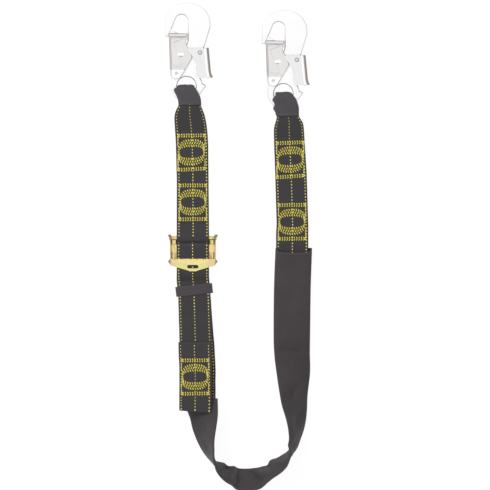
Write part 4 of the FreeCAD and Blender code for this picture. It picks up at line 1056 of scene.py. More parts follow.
def cloth_finish(name, tone, cord, pick, depth, fading=0.14, rough=0.85):
    """Woven cloth: weave in bump and shade, slow fading, fuzz, a little sheen, painted shade in its creases
    and hollows, and lighter raised edges.
    """

    def build(tree):
        weave = grouped(tree, weave_group(), Cord_Pitch=cord, Pick_Pitch=pick)
        cloth = grouped(tree, cloth_tone_group(), Fading=fading)
        edges = {"Edge_Start": 0.503, "Edge_End": 0.56, "Hollow_Start": 0.497, "Hollow_End": 0.470}
        edges_and_hollows = grouped(tree, edge_and_hollow_shade_group(), **edges, Grain=0.004)
        light = scaled(tone, 1.45)
        spread = ramp(tree, times(tree, weave["Shade"], cloth["Tone"]), 0.55, 1.35)
        body = blend_of(tree, spread, scaled(tone, 0.55), light)
        # Painted shade: the cloth is darker in its creases and hollows.
        body = blend_of(tree, times(tree, edges_and_hollows["Hollow"], 0.8), body, scaled(tone, 0.35))
        relief = math_of(tree, "MULTIPLY_ADD", cloth["Fibre"], 0.15, weave["Height"])
        return {
            "Base Color": blend_of(tree, times(tree, edges_and_hollows["Edge"], 0.5), body, light),
            "Roughness": math_of(tree, "MULTIPLY_ADD", cloth["Fibre"], 0.2, rough - 0.1),
            "Normal": bump_of(tree, relief, 0.55, depth),
        }

    return finish_of(name, build, Sheen_Weight=0.12, Sheen_Roughness=0.45, Specular_IOR_Level=0.25)


def thread_finish(name, tone, shade, rough=0.55):
    """Twisted yarn: strands in bump, a tone that changes from strand to strand, painted shade between the
    strands and a painted highlight on their raised crests.
    """

    def build(tree):
        cloth = grouped(tree, cloth_tone_group(), Fading=0.35, Fuzz=0.3, Patch_Scale=120.0)
        edges_and_hollows = grouped(tree, edge_and_hollow_shade_group(), Edge_Start=0.48, Edge_End=0.62)
        island = place(tree, "ShaderNodeNewGeometry").outputs["Random Per Island"]
        # Painted shade between the strands, mixed with a tone that changes from strand to strand.
        strand = math_of(tree, "MULTIPLY_ADD", edges_and_hollows["Hollow"], 0.65, times(tree, island, 0.6))
        body = blend_of(tree, strand, tone, shade)
        return {
            # Painted highlight on the raised crests of the strands.
            "Base Color": blend_of(tree, times(tree, edges_and_hollows["Edge"], 0.5), body, scaled(tone, 1.25)),
            "Roughness": math_of(tree, "MULTIPLY_ADD", cloth["Fibre"], 0.25, rough - 0.12),
            "Normal": bump_of(tree, cloth["Fibre"], 0.5, 0.00012),
        }

    return finish_of(name, build, Sheen_Weight=0.1, Sheen_Roughness=0.4, Specular_IOR_Level=0.35)


def plated_finish(name, tone, rough, cloudy=0.05, brush=0.3, edge=0.35, hollow_shade=0.5, slope=0.5, metallic=1.0):
    """Zinc plated steel: cloudy plating, fine pits, painted shade in hollows, a painted dark reflection on
    upright slopes, and darker raised edges.
    """

    def build(tree):
        grain = grouped(tree, grain_group(), Brush=brush)
        edges_and_hollows = grouped(tree, edge_and_hollow_shade_group())
        body = blend_of(tree, grain["Cloud"], tone, scaled(tone, 1 - cloudy * 3))
        # Painted shade in hollows and a painted dark reflection on upright faces; raised edges are darkened
        # too.
        for mask, dark, darker in (
            (edges_and_hollows["Hollow"], hollow_shade, (0.45,)),
            (edges_and_hollows["Edge"], edge, (0.62,)),
            (slope_of(tree, 0.995, 0.84), slope, (0.42, 0.37, 0.34)),
        ):
            body = blend_of(tree, times(tree, mask, dark), body, scaled(tone, *darker))
        varied = math_of(tree, "MULTIPLY_ADD", grain["Cloud"], 0.16, rough - 0.08)
        relief = math_of(tree, "ADD", grain["Pits"], grain["Brushing"])
        return {
            "Base Color": body,
            "Roughness": math_of(tree, "MULTIPLY_ADD", grain["Brushing"], 0.12, varied),
            "Normal": bump_of(tree, relief, 0.12, 0.0002),
        }

    return finish_of(name, build, Metallic=metallic, Specular_IOR_Level=0.5)


def zinc_finish(name, gold, rose, green, rough):
    """Yellow passivated zinc with its rose and green casts, painted shade in hollows, painted dark
    reflections on sloped faces, its shoulders and its flared ends, and darker raised edges.
    """

    def build(tree):
        grain = grouped(tree, grain_group(), Brush=0.25, Cloud_Scale=38.0)
        edges_and_hollows = grouped(tree, edge_and_hollow_shade_group())
        where = object_space(tree)
        drawn = stretched(tree, where, (420.0, 30.0, 200.0))
        streaks = ramp(tree, noise_of(tree, drawn, 1.0, 1.0), 0.5, 0.66)
        across, along = place(tree, "ShaderNodeSeparateXYZ", {0: where}).outputs[:2]
        walls = ramp(tree, along, -0.0235, -0.0205)
        upper_end = ramp(tree, along, 0.0, 0.006)
        right_end = ramp(tree, across, -0.0500, -0.0455)
        reach = math_of(tree, "ABSOLUTE", math_of(tree, "ADD", across, -BUCKLE_X * MM))
        # The shoulders and flared tips of the frame get painted dark reflections.
        shoulder_dark_reflection, tip_dark_reflection = ramp(tree, reach, 0.0312, 0.0328), ramp(tree, reach, 0.0328, 0.0362)
        cast = ramp(tree, noise_of(tree, where, 42.0, 2.0, Distortion=0.8), 0.44, 0.58)
        body = blend_of(tree, cast, gold, rose)
        body = blend_of(tree, ramp(tree, grain["Cloud"], 0.58, 0.72), body, green)
        # Painted shade in hollows and painted dark reflections on sloped faces, shoulders and tips; the other
        # masks are casts, streaks and darker raised edges.
        for mask, strength, tone in (
            (edges_and_hollows["Hollow"], 0.6, scaled(rose, 0.4)),
            (edges_and_hollows["Edge"], 0.45, scaled(gold, 0.5)),
            (slope_of(tree, 0.97, 0.45), 0.75, (0.24, 0.15, 0.10)),
            (walls, 0.48, (1.0, 0.68, 0.28)),
            (times(tree, right_end, upper_end), 0.6, (0.72, 0.80, 0.16)),
            (times(tree, shoulder_dark_reflection, upper_end), 0.75, (0.20, 0.16, 0.14)),
            (tip_dark_reflection, 0.85, (0.17, 0.13, 0.10)),
            (times(tree, streaks, walls), 0.8, scaled(rose, 0.42, 0.40, 0.42)),
        ):
            body = blend_of(tree, times(tree, mask, strength), body, tone)
        return {
            "Base Color": body,
            "Roughness": math_of(tree, "MULTIPLY_ADD", grain["Cloud"], 0.18, rough - 0.09),
            "Normal": bump_of(tree, grain["Pits"], 0.12, 0.0002),
        }

    coat = {"Coat_Weight": 0.15, "Coat_Roughness": 0.2}
    return finish_of(name, build, Metallic=1.0, Specular_IOR_Level=0.5, **coat)


def webbing_finish(webbing):
    return cloth_finish("Load webbing", webbing.tone, webbing.cord_pitch, webbing.pick_pitch, 0.00022)


def tracer_finish(webbing):
    # The second colour is the painted shade between the tracer's strands.
    return thread_finish("Tracer yarn", webbing.tracer_tone, scaled(webbing.tracer_tone, 0.5))


def stitching_finish(thread):
    return thread_finish("Yellow thread", thread.tone, thread.shade)


def shaded_backing_finish(thread):
    # The backing's dark thread colour is painted shade between the stitches.
    return thread_finish("Thread in the shade", scaled(thread.shade, 0.26), scaled(thread.shade, 0.15), 0.8)


def dress(nodes, finish):
    """Gives carried-over nodes their finish."""
    for name in nodes:
        node = frame["nodes"][name]
        if not node.material_slots:
            node.data.materials.append(finish)
        for slot in node.material_slots:
            slot.material = finish


# ---------------------------------------------------------------- operators


class LANYARD_OT_stage(bpy.types.Operator):
    """Lays the pale floor, sets the soft light and points the camera straight down"""

    bl_idname = "lanyard.stage"
    bl_label = "Stage"

    def execute(self, context):
        sizes = context.scene.lanyard_stage
        self.floor(sizes)
        self.lamps(sizes)
        self.sky(context.scene, sizes)
        eye = bpy.data.cameras.new("overhead_camera")
        eye.type = "ORTHO"
        eye.ortho_scale = sizes.span
        camera = bpy.data.objects.new("overhead_camera", eye)
        camera.location = (sizes.aim_x, sizes.aim_y, sizes.height)
        context.scene.collection.objects.link(camera)
        context.scene.camera = camera
        context.scene.view_settings.view_transform = "Standard"
        return {"FINISHED"}

    def floor(self, sizes):
        mesh = bpy.data.meshes.new("floor")
        reach = 12.0
        corners = [(-reach, -reach), (reach, -reach), (reach, reach), (-reach, reach)]
        mesh.from_pydata([(x, y, FLOOR_Z * MM) for x, y in corners], [], [(0, 1, 2, 3)])
        floor = bpy.data.objects.new("floor", mesh)
        bpy.context.scene.collection.objects.link(floor)
        finish = bpy.data.materials.new("Pale floor")
        finish.use_nodes = True
        tree = finish.node_tree
        tree.nodes.clear()
        paper = place(tree, "ShaderNodeBsdfDiffuse", {"Color": sizes.floor_tone})
        faint = place(tree, "ShaderNodeBsdfDiffuse", {"Color": scaled(WHITE, 0.14)})
        glow = place(tree, "ShaderNodeEmission", {"Color": WHITE, "Strength": 0.93 * sizes.white})
        shadowed = place(tree, "ShaderNodeAddShader", {0: faint.outputs[0], 1: glow.outputs[0]})
        rays = place(tree, "ShaderNodeLightPath").outputs
        seen = math_of(tree, "MAXIMUM", rays["Is Camera Ray"], rays["Is Glossy Ray"])
        seen = math_of(tree, "MAXIMUM", seen, rays["Is Transmission Ray"])
        shown = place(tree, "ShaderNodeMixShader", {0: seen, 1: paper.outputs[0], 2: shadowed.outputs[0]})
        place(tree, "ShaderNodeOutputMaterial", {"Surface": shown.outputs[0]})
        mesh.materials.append(finish)

    def lamps(self, sizes):
        for name, power, size, spot in (
            ("key_lamp", sizes.key, 1.3, (-1.3, 0.9, 2.1)),
            ("fill_lamp", sizes.fill, 1.8, (1.6, -0.6, 1.9)),
        ):
            lamp = bpy.data.lights.new(name, "AREA")
            lamp.energy = power
            lamp.size = size
            holder = bpy.data.objects.new(name, lamp)
            holder.location = spot
            holder.rotation_euler = (-Vector(spot)).to_track_quat("-Z", "Y").to_euler()
            holder.visible_camera = False
            holder.visible_glossy = False
            bpy.context.scene.collection.objects.link(holder)

    def sky(self, scene, sizes):
        world = bpy.data.worlds.new("Studio")
        scene.world = world
        world.use_nodes = True
        tree = world.node_tree
        tree.nodes.clear()
        way = place(tree, "ShaderNodeTexCoord").outputs["Generated"]
        parts = place(tree, "ShaderNodeSeparateXYZ", {0: way}).outputs
        aside = math_of(tree, "MULTIPLY_ADD", parts[1], -0.6, times(tree, parts[0], 0.8))
        rim = blend_of(tree, ramp(tree, aside, -0.5, 0.8), (0.88, 0.885, 0.90), (0.34, 0.325, 0.32))
        tone = blend_of(tree, ramp(tree, parts[2], 0.0, 0.8), rim, WHITE)
        lit = place(tree, "ShaderNodeBackground", {"Color": tone, "Strength": sizes.sky})
        rays = place(tree, "ShaderNodeLightPath").outputs
        plain = place(tree, "ShaderNodeBackground", {"Color": WHITE, "Strength": sizes.white})
        studio = place(tree, "ShaderNodeBackground", {"Color": tone, "Strength": 1.08 * sizes.white})
        glossy = math_of(tree, "MAXIMUM", rays["Is Glossy Ray"], rays["Is Transmission Ray"])
        soft = place(tree, "ShaderNodeMixShader", {0: glossy, 1: lit.outputs[0], 2: studio.outputs[0]})
        mixed = {0: rays["Is Camera Ray"], 1: soft.outputs[0], 2: plain.outputs[0]}
        shown = place(tree, "ShaderNodeMixShader", mixed)
        place(tree, "ShaderNodeOutputWorld", {"Surface": shown.outputs[0]})


class LANYARD_OT_hooks(bpy.types.Operator):
    """Plates the forged hooks, their gates, locking levers, rivets and springs"""

    bl_idname = "lanyard.hooks"
    bl_label = "Snap Hooks"

    def execute(self, context):
        sizes = context.scene.lanyard_metal
        rough = sizes.rough
        # The hollow and slope strengths set painted shade in hollows and a painted dark reflection on upright
        # faces.
        forging = {"cloudy": 0.01, "brush": 0.1, "edge": 0.04, "hollow_shade": 0.06, "slope": 0.08, "metallic": 0.7}
        pressed = {"cloudy": 0.03, "brush": 0.5, "edge": 0.1, "hollow_shade": 0.7, "slope": 0.8}
        drawn = {"cloudy": 0.03, "brush": 0.5, "edge": 0.15, "hollow_shade": 0.3}
        turned = {"cloudy": 0.04, "brush": 0.2, "edge": 0.3, "hollow_shade": 0.6}
        bright = plated_finish("Plated forging", sizes.forging_tone, rough, **forging)
        gate = plated_finish("Satin gate", sizes.gate_tone, rough + 0.06, **pressed)
        lever = plated_finish("Satin lever", sizes.lever_tone, rough + 0.04, **drawn)
        rivet = plated_finish("Turned rivet", sizes.rivet_tone, rough - 0.04, **turned)
        spring = plated_finish("Spring wire", sizes.spring_tone, rough, brush=0.1)
        # Painted shade: a dark finish for the lever's folded edge and the gate's slot.
        painted_shade = plated_finish("Painted shade finish", sizes.painted_shade_tone, rough + 0.15)
        finishes = {"hook_body": bright, "gate": gate, "lock_lever": lever}
        finishes |= {"gate_rivet": rivet, "lever_rivet": rivet, "gate_spring": spring, "lever_spring": spring}
        for side in EYES:
            for part, finish in finishes.items():
                dress([f"{side}_{part}"], finish)
            self.pressings(side, gate, bright, painted_shade)
            self.thumb_pad(side, bright, painted_shade)
        return {"FINISHED"}

    def pressings(self, side, finish, bright, dark):
        """The gate's pressed panel, its beak's facet and the rib across it, on both cheeks."""
        x, y = GATE_PIVOT[0] + EYES[side][0], GATE_PIVOT[1] + EYES[side][1]
        for name, edges, high, look in (
            ("panel", PANEL_EDGES, panel_height, finish),
            ("foot", FOOT_EDGES, foot_height, bright),
            ("window", WINDOW_EDGES, window_height, bright),
            # The slot gets the dark painted-shade finish.
            ("slot", SLOT_EDGES, slot_height, dark),
            ("beak", BEAK_EDGES, beak_height, bright),
        ):
            shapes = [pressed_sheet(edges, high, x, y, face) for face in (1, -1)]
            make_piece(f"{side}_gate_{name}", gather(shapes), look, body=f"{side}_gate")
        ribs = []
        for face in (1, -1):
            points = []
            for at, share_high in RIB:
                for turn in np.radians(np.linspace(-20, 200, RIB_SIDES)):
                    across = 2.35 * math.cos(turn)
                    rise = 1.5 * share_high * min(1.0, 1.7 * math.sin(turn))
                    points.append((x + at, y + RIB_Y + across, HOOK_Z + face * (GATE_OUTER + rise)))
            ribs.append(unwoven(points, capped(len(RIB), RIB_SIDES)))
        make_piece(f"{side}_gate_rib", gather(ribs), finish, body=f"{side}_gate")

    def thumb_pad(self, side, bright, dark):
        """The lever's bright bevel and a strip folded over its edge, coloured as painted shade."""
        x, y = EYES[side]
        line = even_line(THUMB_EDGE, 2.0)
        ahead = np.gradient(line, axis=0)
        ahead /= np.linalg.norm(ahead, axis=1)[:, None]
        inward = np.stack([-ahead[:, 1], ahead[:, 0]], axis=1)
        bevel = [(7.7, -0.2), (7.3, 0.25), (6.6, 0.55), (5.0, 0.75), (3.7, 0.62), (3.2, 0.3), (3.1, -0.2)]
        turns = np.radians(np.linspace(6, 90, 9))
        fold = [(3.6 - 3.85 * math.sin(t), 3.85 * math.cos(t) - 3.6) for t in turns]
        fold += [(3.6 - 3.4 * math.sin(t), 3.4 * math.cos(t) - 3.6) for t in turns[::-1]]
        lever = f"{side}_lock_lever"
        # The folded strip gets the dark painted-shade finish.
        for name, section, finish in (("bevel", bevel, bright), ("painted_shade", fold, dark)):
            shapes = []
            for face in (1, -1):
                points = []
                for k, (spot, side_way) in enumerate(zip(line, inward)):
                    flare = 1.6 * max(0.0, 1 - k / 2.5) if name == "painted_shade" else 0.0
                    for reach, rise in section:
                        px, py = spot + side_way * (reach - flare)
                        points.append((x + px, y + py, HOOK_Z + face * (LEVER_OUTER + rise)))
                shapes.append(unwoven(points, capped(len(line), len(section))))
            make_piece(f"{side}_lever_{name}", gather(shapes), finish, body=lever)


class LANYARD_OT_adjuster(bpy.types.Operator):
    """Gives the adjuster's frame, top bar and slider their yellow zinc"""

    bl_idname = "lanyard.adjuster"
    bl_label = "Adjuster"

    def execute(self, context):
        sizes = context.scene.lanyard_metal
        tones = sizes.zinc_gold, sizes.zinc_rose, sizes.zinc_green
        finish = zinc_finish("Yellow zinc", *tones, sizes.rough - 0.04)
        dress(["adjuster_frame", "adjuster_top_bar", "adjuster_slider"], finish)
        sides = [(BUCKLE_X + side * 24.0, BUCKLE_X + side * 34.2) for side in (-1, 1)]
        beds = [box_between(inner, outer, 1.0, 11.5, 0.4, 1.0) for inner, outer in sides]
        make_piece("adjuster_bed", gather(beds), finish)
        return {"FINISHED"}


class LANYARD_OT_hook_straps(bpy.types.Operator):
    """Weaves the two doubled hook straps with their tracer yarns"""

    bl_idname = "lanyard.hook_straps"
    bl_label = "Hook Straps"

    def execute(self, context):
        webbing = context.scene.lanyard_webbing
        for side, run in (("left", self.left_run(webbing)), ("right", self.right_run(webbing))):
            strap = make_piece(
                f"{side}_strap_webbing",
                ribbon(run, seed=len(side)),
                webbing_finish(webbing),
                replaces=[f"{side}_hook_strap"],
            )
            inside, outside = self.under_guard(side, run)
            stretches = [(6.0, inside), (outside, run.length - 8.0)]
            sewn = sewn_stretches([f"{side}_upper", f"{side}_lower"])
            yarn = make_piece(
                f"{side}_strap_tracers",
                tracers(run, stretches, webbing, faces=(-1,), sewn=sewn),
                tracer_finish(webbing),
            )
        return {"FINISHED"}

    def under_guard(self, side, run):
        """Where the strap goes into its guard and comes out again."""
        hem = EYES[side][1] + HEM[side] + 1.0
        hidden = np.nonzero(run.middle[:, 1] > hem)[0]
        return run.at[hidden[0]], run.at[hidden[-1]]

    def left_run(self, webbing):
        sewn = EYES["left"][1] - SEWN_DROP
        corners = [(6.5, 1.8, 4.6), (36.2, LOW_PLY, 60.0), (sewn, LOW_PLY, 60.0)]
        corners += loop_round_eye("left")
        corners += [(sewn, TOP_PLY, 40.0), (36.2, TOP_PLY, 30.0), (17.0, 11.5, 20.0), (6.5, 11.5, 5.0)]
        return side_run("left", rounded(corners, closed=True), webbing.thick / MM, closed=True)

    def right_run(self, webbing):
        sewn = EYES["right"][1] - SEWN_DROP
        corners = [(-46.0, LOW_PLY, 0.0), (sewn, LOW_PLY, 60.0)]
        corners += loop_round_eye("right")
        corners += [(sewn, TOP_PLY, 40.0), (-46.0, TOP_PLY, 0.0)]
        return side_run("right", rounded(corners), webbing.thick / MM)


class LANYARD_OT_long_strap(bpy.types.Operator):
    """Weaves the adjustable strap from the pack round the bend, through the adjuster to its stop fold"""

    bl_idname = "lanyard.long_strap"
    bl_label = "Adjustable Strap"

    def execute(self, context):
        webbing = context.scene.lanyard_webbing
        covers = context.scene.lanyard_covers
        half = webbing.width / MM / 2
        banked = route_run(0.76, len(RAILS) - 1, 3.0, half, webbing.thick / MM)
        banked.middle[banked.station < 2, 0] -= 0.9
        tail = self.tail_line()
        middle = np.vstack([banked.middle, tail])
        slant = -0.085 * smooth((-234.0 - tail[:, 1]) / 18.0)
        across = np.vstack([banked.across, np.column_stack([np.ones(len(tail)), slant, np.zeros(len(tail))])])
        run = Run(middle, across, half, half, webbing.thick / MM)

        def wave(index, x):
            station = banked.station[index] if index < len(banked.station) else math.inf
            return covers.crease * crease_wave(station, x * 0.88) if station <= SLEEVE_LAST else 0.0

        strap = make_piece(
            "adjustable_webbing",
            ribbon(run, seed=9, wave=wave),
            webbing_finish(webbing),
            replaces=["adjustable_strap"],
        )
        shown = (run.middle[:, 0] < 0) & (run.middle[:, 1] > -243)
        out = run.at[np.argmax(shown)]
        mirrored = [-row for row in TRACER_ROWS]
        yarn = make_piece(
            "adjustable_tracers",
            tracers(run, [(out, run.length + 1.0)], webbing, sewn=sewn_stretches(["tail"]), rows=mirrored),
            tracer_finish(webbing),
        )
        return {"FINISHED"}

    def tail_line(self):
        """Middle of the tail: under the slider, over it, down the front and back in the stop fold."""
        fold_low, fold_high = 31.7, 34.75
        corners = [
            (-42.5, 3.4, 0.0),
            (-36.0, 4.35, 20.0),
            (3.85, 4.35, 3.85),
            (3.85, 12.05, 3.85),
            (-40.8, 12.05, 14.0),
            (-50.8, 6.4, 14.0),
            (-104.0, 6.4, 90.0),
            (-255.4, fold_low - 0.2, 1.5),
            (-255.9, fold_high - 0.1, 1.5),
            (-240.0, fold_high - TAIL_SLOPE * 17.0 + 0.5, 60.0),
            (-149.0, fold_high - TAIL_SLOPE * 108.0, 0.0),
        ]
        xs, ys = zip(*TAIL_MIDDLES[::-1])
        y, z = np.array(rounded(corners)).T
        folded_back = np.arange(len(y)) > np.argmin(y)
        aside = np.where(folded_back, 1.7 * smooth((y + 200.0) / 50.0), 0.0)
        return np.column_stack([np.interp(y, ys, xs) - aside, y, z])


class LANYARD_OT_guards(bpy.types.Operator):
    """Pulls the two fabric guards over the loops"""

    bl_idname = "lanyard.guards"
    bl_label = "Loop Guards"

    def execute(self, context):
        covers = context.scene.lanyard_covers
        finish = cloth_finish("Guard fabric", covers.guard_tone, 0.0009, 0.0009, 0.00010, fading=0.2)
        for side, seed in (("left", 3), ("right", 11)):
            run = side_run(side, rounded(loop_round_eye(side)), 3.0, narrow=-GUARD_SKIN)
            if side == "right":
                along = run.middle[:, 1] - EYES[side][1]
                gathered = smooth((4.0 - along) / 3.0) * smooth((along + 32.0) / 4.0)
                run.left += 1.3 * np.cos((along + 9.9) * 2 * math.pi / 13.4) * gathered
            guard = make_piece(
                f"{side}_guard_fabric",
                flat_tube(run, covers.guard_wall / MM, 2.75, self.crumple(run, seed), 22),
                finish,
                replaces=[f"{side}_loop_guard"],
            )
        return {"FINISHED"}

    def crumple(self, run, seed):
        """Gathered folds that run with the strap, and softer dents across them."""

        def shape(index, x, rise):
            at = run.at[index]
            fold = cloud(x * 2.6 + seed, at * 0.035, seed)
            dent = cloud(x * 1.1, at * 0.12, seed + 4.0)
            puff = 1.1 * fold + 0.6 * dent
            return 0.25 * dent, 0.5 * fold, puff * (1 - 0.5 * abs(x))

        return shape


class LANYARD_OT_sleeve(bpy.types.Operator):
    """Draws the protective sleeve over the pack and round the twisted bend"""

    bl_idname = "lanyard.sleeve"
    bl_label = "Protective Sleeve"

    def execute(self, context):
        covers = context.scene.lanyard_covers
        run = route_run(0, SLEEVE_LAST, 2.6, SLEEVE_HALF, 3.0)
        pack = np.where(run.middle[:, 0] > 0, smooth((run.middle[:, 1] + 164.0) / 24.0), 0.0)
        run.middle[:, 2] += 3.15 * pack
        bulge = np.exp(-(((run.station - 9.5) / 0.3) ** 2))  # where the sleeve stands on its edge
        depths = SLEEVE_DEPTH + 3.1 * pack + 1.5 * bulge
        finish = cloth_finish("Sleeve fabric", covers.sleeve_tone, 0.0008, 0.0008, 0.00008, fading=0.55)
        sleeve = make_piece(
            "sleeve_fabric",
            flat_tube(run, covers.sleeve_wall / MM, depths, self.creases(run, covers.crease)),
            finish,
            replaces=["protective_sleeve"],
        )
        return {"FINISHED"}

    def creases(self, run, depth):
        """Creases and soft waves of the laid fabric, with the slack front lip at the upper mouth."""

        def shape(index, x, rise):
            at = run.at[index]
            left_over = run.length - at
            wave = cloud(x * 0.6, at * 0.021, 2.3)
            fine = cloud(x * 2.2, at * 0.05, 5.0)
            settle = float(smooth(at / 60.0) * smooth(left_over / 12.0))
            lift = depth * crease_wave(run.station[index], x)
            mouth = float(smooth(1 - at / 30.0))
            slack = 7.0 * mouth * max(rise, 0.0) ** 0.5 * (1 - abs(x) ** 14)
            puff = settle * (0.3 + 0.6 * wave + 0.4 * fine) * (1 - x**4)
            return lift, slack, puff

        return shape


class LANYARD_OT_tear_pack(bpy.types.Operator):
    """Folds the tear webbing inside the sleeve and tacks it"""

    bl_idname = "lanyard.tear_pack"
    bl_label = "Tear Webbing"

    def execute(self, context):
        covers = context.scene.lanyard_covers
        thread = context.scene.lanyard_thread
        x = sum(STRAP_FEET["right"]) / 2
        corners = [(-18.0, 9.2, 0.0), (-139.5, 9.2, 1.55), (-139.5, 6.1, 1.55), (-50.0, 6.1, 0.0)]
        middle = [(x, y, z) for y, z in rounded(corners)]
        run = Run(middle, (1, 0, 0), 23.0, 23.0, 2.4)
        pack = make_piece(
            "tear_webbing_pack",
            ribbon(run, 23.0, seed=21),
            cloth_finish("Tear webbing", covers.tear_tone, 0.0019, 0.0014, 0.00025, rough=0.8),
            replaces=["absorber_tear_webbing"],
        )
        low, high = box_of("absorber_stitching")
        made = []
        up = np.array((0.0, 0.0, 1.0))
        for middle_y in TACKS:
            for row in TACK_ROWS:
                path = [(low[0], middle_y + row), (high[0], middle_y + row)]

                def put(spot, rise):
                    return np.array((spot[0], spot[1], low[2] + rise)), up

                made += stitch_row(path, thread.stitch / MM, 0.5, thread.radius / MM, put, seed=int(row * 10))
        tacks = make_piece(
            "tear_webbing_tacks",
            gather(made),
            stitching_finish(thread),
            replaces=["absorber_stitching"],
        )
        return {"FINISHED"}


class LANYARD_OT_stitching(bpy.types.Operator):
    """Sews the five oval-and-bar stitch patterns"""

    bl_idname = "lanyard.stitching"
    bl_label = "Stitch Patterns"

    def execute(self, context):
        thread = context.scene.lanyard_thread
        lean = math.atan(TAIL_SLOPE)
        for seed, (name, (tilt, plies, aside, top_tilt, foot_tilt)) in enumerate(PATTERNS.items()):
            low, high = box_of(f"{name}_stitching")
            centre = (low + high) / 2
            centre[0] += aside
            if not tilt:
                centre[2] = low[2]
            slope = lean * tilt
            across = np.array((1.0, 0.0, 0.0))
            along = np.array((0.0, math.cos(slope), math.sin(slope)))
            up = np.cross(across, along)
            threads, backings = [], []
            for face, drop, sparse in ((1.0, 0.0, 1.0), (-1.0, -plies, 1.6)):

                def put(spot, rise, face=face, drop=drop):
                    spot = centre + across * spot[0] + along * spot[1] + up * (drop + (0.12 + rise) * face)
                    return spot, up * face

                tilts = math.radians(top_tilt), math.radians(foot_tilt)
                some, base = self.pattern(thread, put, seed, tilts, sparse)
                threads += some
                backings += base
            make_piece(
                f"{name}_thread",
                gather(threads),
                stitching_finish(thread),
                replaces=[f"{name}_stitching"],
            )
            # The backing carries the painted shade between the stitches.
            make_piece(f"{name}_backing", gather(backings), shaded_backing_finish(thread))
        return {"FINISHED"}

    def pattern(self, thread, put, seed, tilts, sparse):
        """A bar, an oval of nested zigzag rows and a bar, joined along both edges."""
        radius, pitch = thread.radius / MM, thread.pitch / MM * sparse
        threads, bases = [], []
        for side, tilt in ((1, tilts[0]), (-1, tilts[1])):
            threads += self.bar(side, tilt, pitch, radius, put, seed)
            outline = [tilted(x, side * y, tilt) for x, y in BAR_OUTLINE]
            narrow = [(x * 0.6, BAR_MIDDLE + (y - BAR_MIDDLE) * 0.1) for x, y in BAR_OUTLINE]
            core = [tilted(x, side * y, tilt) for x, y in narrow]
            bases.append(shaded_backing(outline, core, put, 0.16))
            edge = BAR_HALF - 0.7
            for x in (-edge, edge):
                link = [tilted(x, side * 23.0, tilt), (x * 1.01, side * 10.0)]
                threads += stitch_row(link, 3.1, 0.3, radius * 1.05, put, seed=seed + 20)
        turn = sum(tilts) / 2
        for row in range(3):
            inner, outer = row / 3 + 0.02, (row + 1) / 3 - 0.02
            count = 120
            advance = (1.6, -1.6, 1.6)[row]
            for start in (0, math.pi):
                marks = [start + OVAL_SIDE + (math.pi - 2 * OVAL_SIDE) * k / count for k in range(count + 1)]
                edges = [[oval_point(u, mark, turn) for mark in marks] for u in (inner, outer)]
                threads += zigzag(*edges, pitch, advance, radius, put, seed + row)
        for side in (0.0, math.pi):
            marks = [side + a for a in np.linspace(-OVAL_SIDE, OVAL_SIDE, 30)]
            edges = [[oval_point(u, mark, turn) for mark in marks] for u in (0.04, 0.96)]
            threads += zigzag(*edges, 3.4, 2.6, radius * 1.25, put, seed + 31)
        ring = [2 * math.pi * k / 72 for k in range(72)]
        outer = [oval_point(0.98, t, turn) for t in ring]
        inner = [oval_point(0.03, t, turn) for t in ring]
        bases.append(shaded_backing(outer, inner, put, 0.16))
        return threads, bases

    def bar(self, side, tilt, pitch, radius, put, seed):
        """Two rows of zigzag stitches with a thick tack at both ends."""
        made = []
        xs = np.linspace(-BAR_HALF + 1.2, BAR_HALF - 1.2, 30)
        foot, split, top = BAR_MIDDLE - 3.2, BAR_MIDDLE - 0.5 * side, BAR_MIDDLE + 3.2
        for low, high, advance in ((foot, split, 1.1), (split, top, -1.3)):
            edges = [[tilted(x, side * y, tilt) for x in xs] for y in (low + 0.15, high - 0.15)]
            made += zigzag(*edges, pitch, advance, radius, put, seed + int(high))
        for x in (-BAR_HALF + 0.5, BAR_HALF - 0.5):
            for inward in (0.0, 1.0):
                away = x - math.copysign(inward, x)
                path = [tilted(away, side * y, tilt) for y in (foot + 0.7, top - 0.7)]
                made += stitch_row(path, 2.6, 0.3, radius * 1.3, put, seed=seed + 7)
        return made


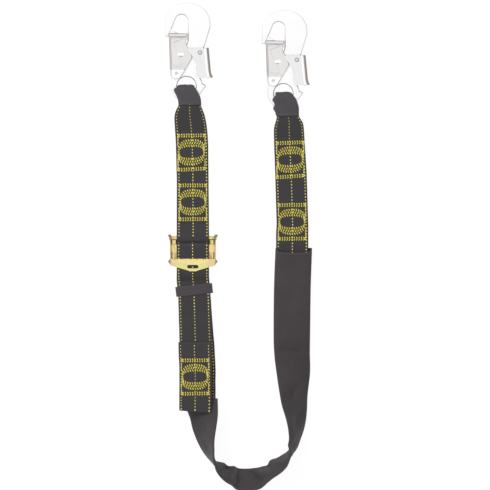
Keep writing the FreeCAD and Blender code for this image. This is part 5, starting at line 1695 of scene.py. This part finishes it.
class LANYARD_OT_keeper(bpy.types.Operator):
    """Slips the elastic keeper over the strap and its tail"""

    bl_idname = "lanyard.keeper"
    bl_label = "Keeper"

    def execute(self, context):
        covers = context.scene.lanyard_covers
        c, d = math.cos(KEEPER_TURN), math.sin(KEEPER_TURN)
        along = np.array((-d, c, 0.0))
        stations = np.linspace(-KEEPER_HALF, KEEPER_HALF, 15)
        middle = [np.array(KEEPER_AT) + along * station for station in stations]
        run = Run(middle, (c, d, 0.0), KEEPER_REACH, KEEPER_REACH, 3.0)
        depths = 4.7 - 0.35 * (np.abs(stations) / KEEPER_HALF) ** 4

        def shape(index, x, rise):
            ripple = 0.12 * cloud(x * 4.0, stations[index] * 0.2, 8.0)
            return 0.0, 0.35 * cloud(x * 2.0, rise, 3.0), ripple

        keeper = make_piece(
            "keeper_band",
            flat_tube(run, covers.keeper_wall / MM, depths, shape),
            cloth_finish("Keeper elastic", covers.keeper_tone, 0.0013, 0.0007, 0.00018, fading=0.1),
            body="keeper",
            replaces=["strap_keeper"],
        )
        return {"FINISHED"}


class LANYARD_PT_panel(bpy.types.Panel):
    """Lists the lanyard's pieces and their sizes and colours"""

    bl_idname = "LANYARD_PT_panel"
    bl_label = "Lanyard"
    bl_space_type = "VIEW_3D"
    bl_region_type = "UI"
    bl_category = "Lanyard"

    def draw(self, context):
        for operator in PIECES:
            self.layout.operator(operator.bl_idname)
        for name in GROUPS:
            box = self.layout.box()
            group = getattr(context.scene, name)
            box.label(text=type(group).__name__)
            for key in type(group).__annotations__:
                box.prop(group, key)


GROUPS = {
    "lanyard_webbing": LanyardWebbing,
    "lanyard_covers": LanyardCovers,
    "lanyard_thread": LanyardThread,
    "lanyard_metal": LanyardMetal,
    "lanyard_stage": LanyardStage,
}
PIECES = [
    LANYARD_OT_stage,
    LANYARD_OT_hooks,
    LANYARD_OT_adjuster,
    LANYARD_OT_hook_straps,
    LANYARD_OT_long_strap,
    LANYARD_OT_guards,
    LANYARD_OT_sleeve,
    LANYARD_OT_tear_pack,
    LANYARD_OT_stitching,
    LANYARD_OT_keeper,
]


def register():
    for some in [*GROUPS.values(), *PIECES, LANYARD_PT_panel]:
        bpy.utils.register_class(some)
    for name, group in GROUPS.items():
        setattr(bpy.types.Scene, name, bpy.props.PointerProperty(type=group))


def unregister():
    for name in GROUPS:
        delattr(bpy.types.Scene, name)
    for some in reversed([*GROUPS.values(), *PIECES, LANYARD_PT_panel]):
        bpy.utils.unregister_class(some)


def main():
    register()
    bpy.ops.lanyard.stage()
    bpy.ops.lanyard.hooks()
    bpy.ops.lanyard.adjuster()
    bpy.ops.lanyard.hook_straps()
    bpy.ops.lanyard.long_strap()
    bpy.ops.lanyard.guards()
    bpy.ops.lanyard.sleeve()
    bpy.ops.lanyard.tear_pack()
    bpy.ops.lanyard.stitching()
    bpy.ops.lanyard.keeper()


if __name__ == "__main__":
    main()
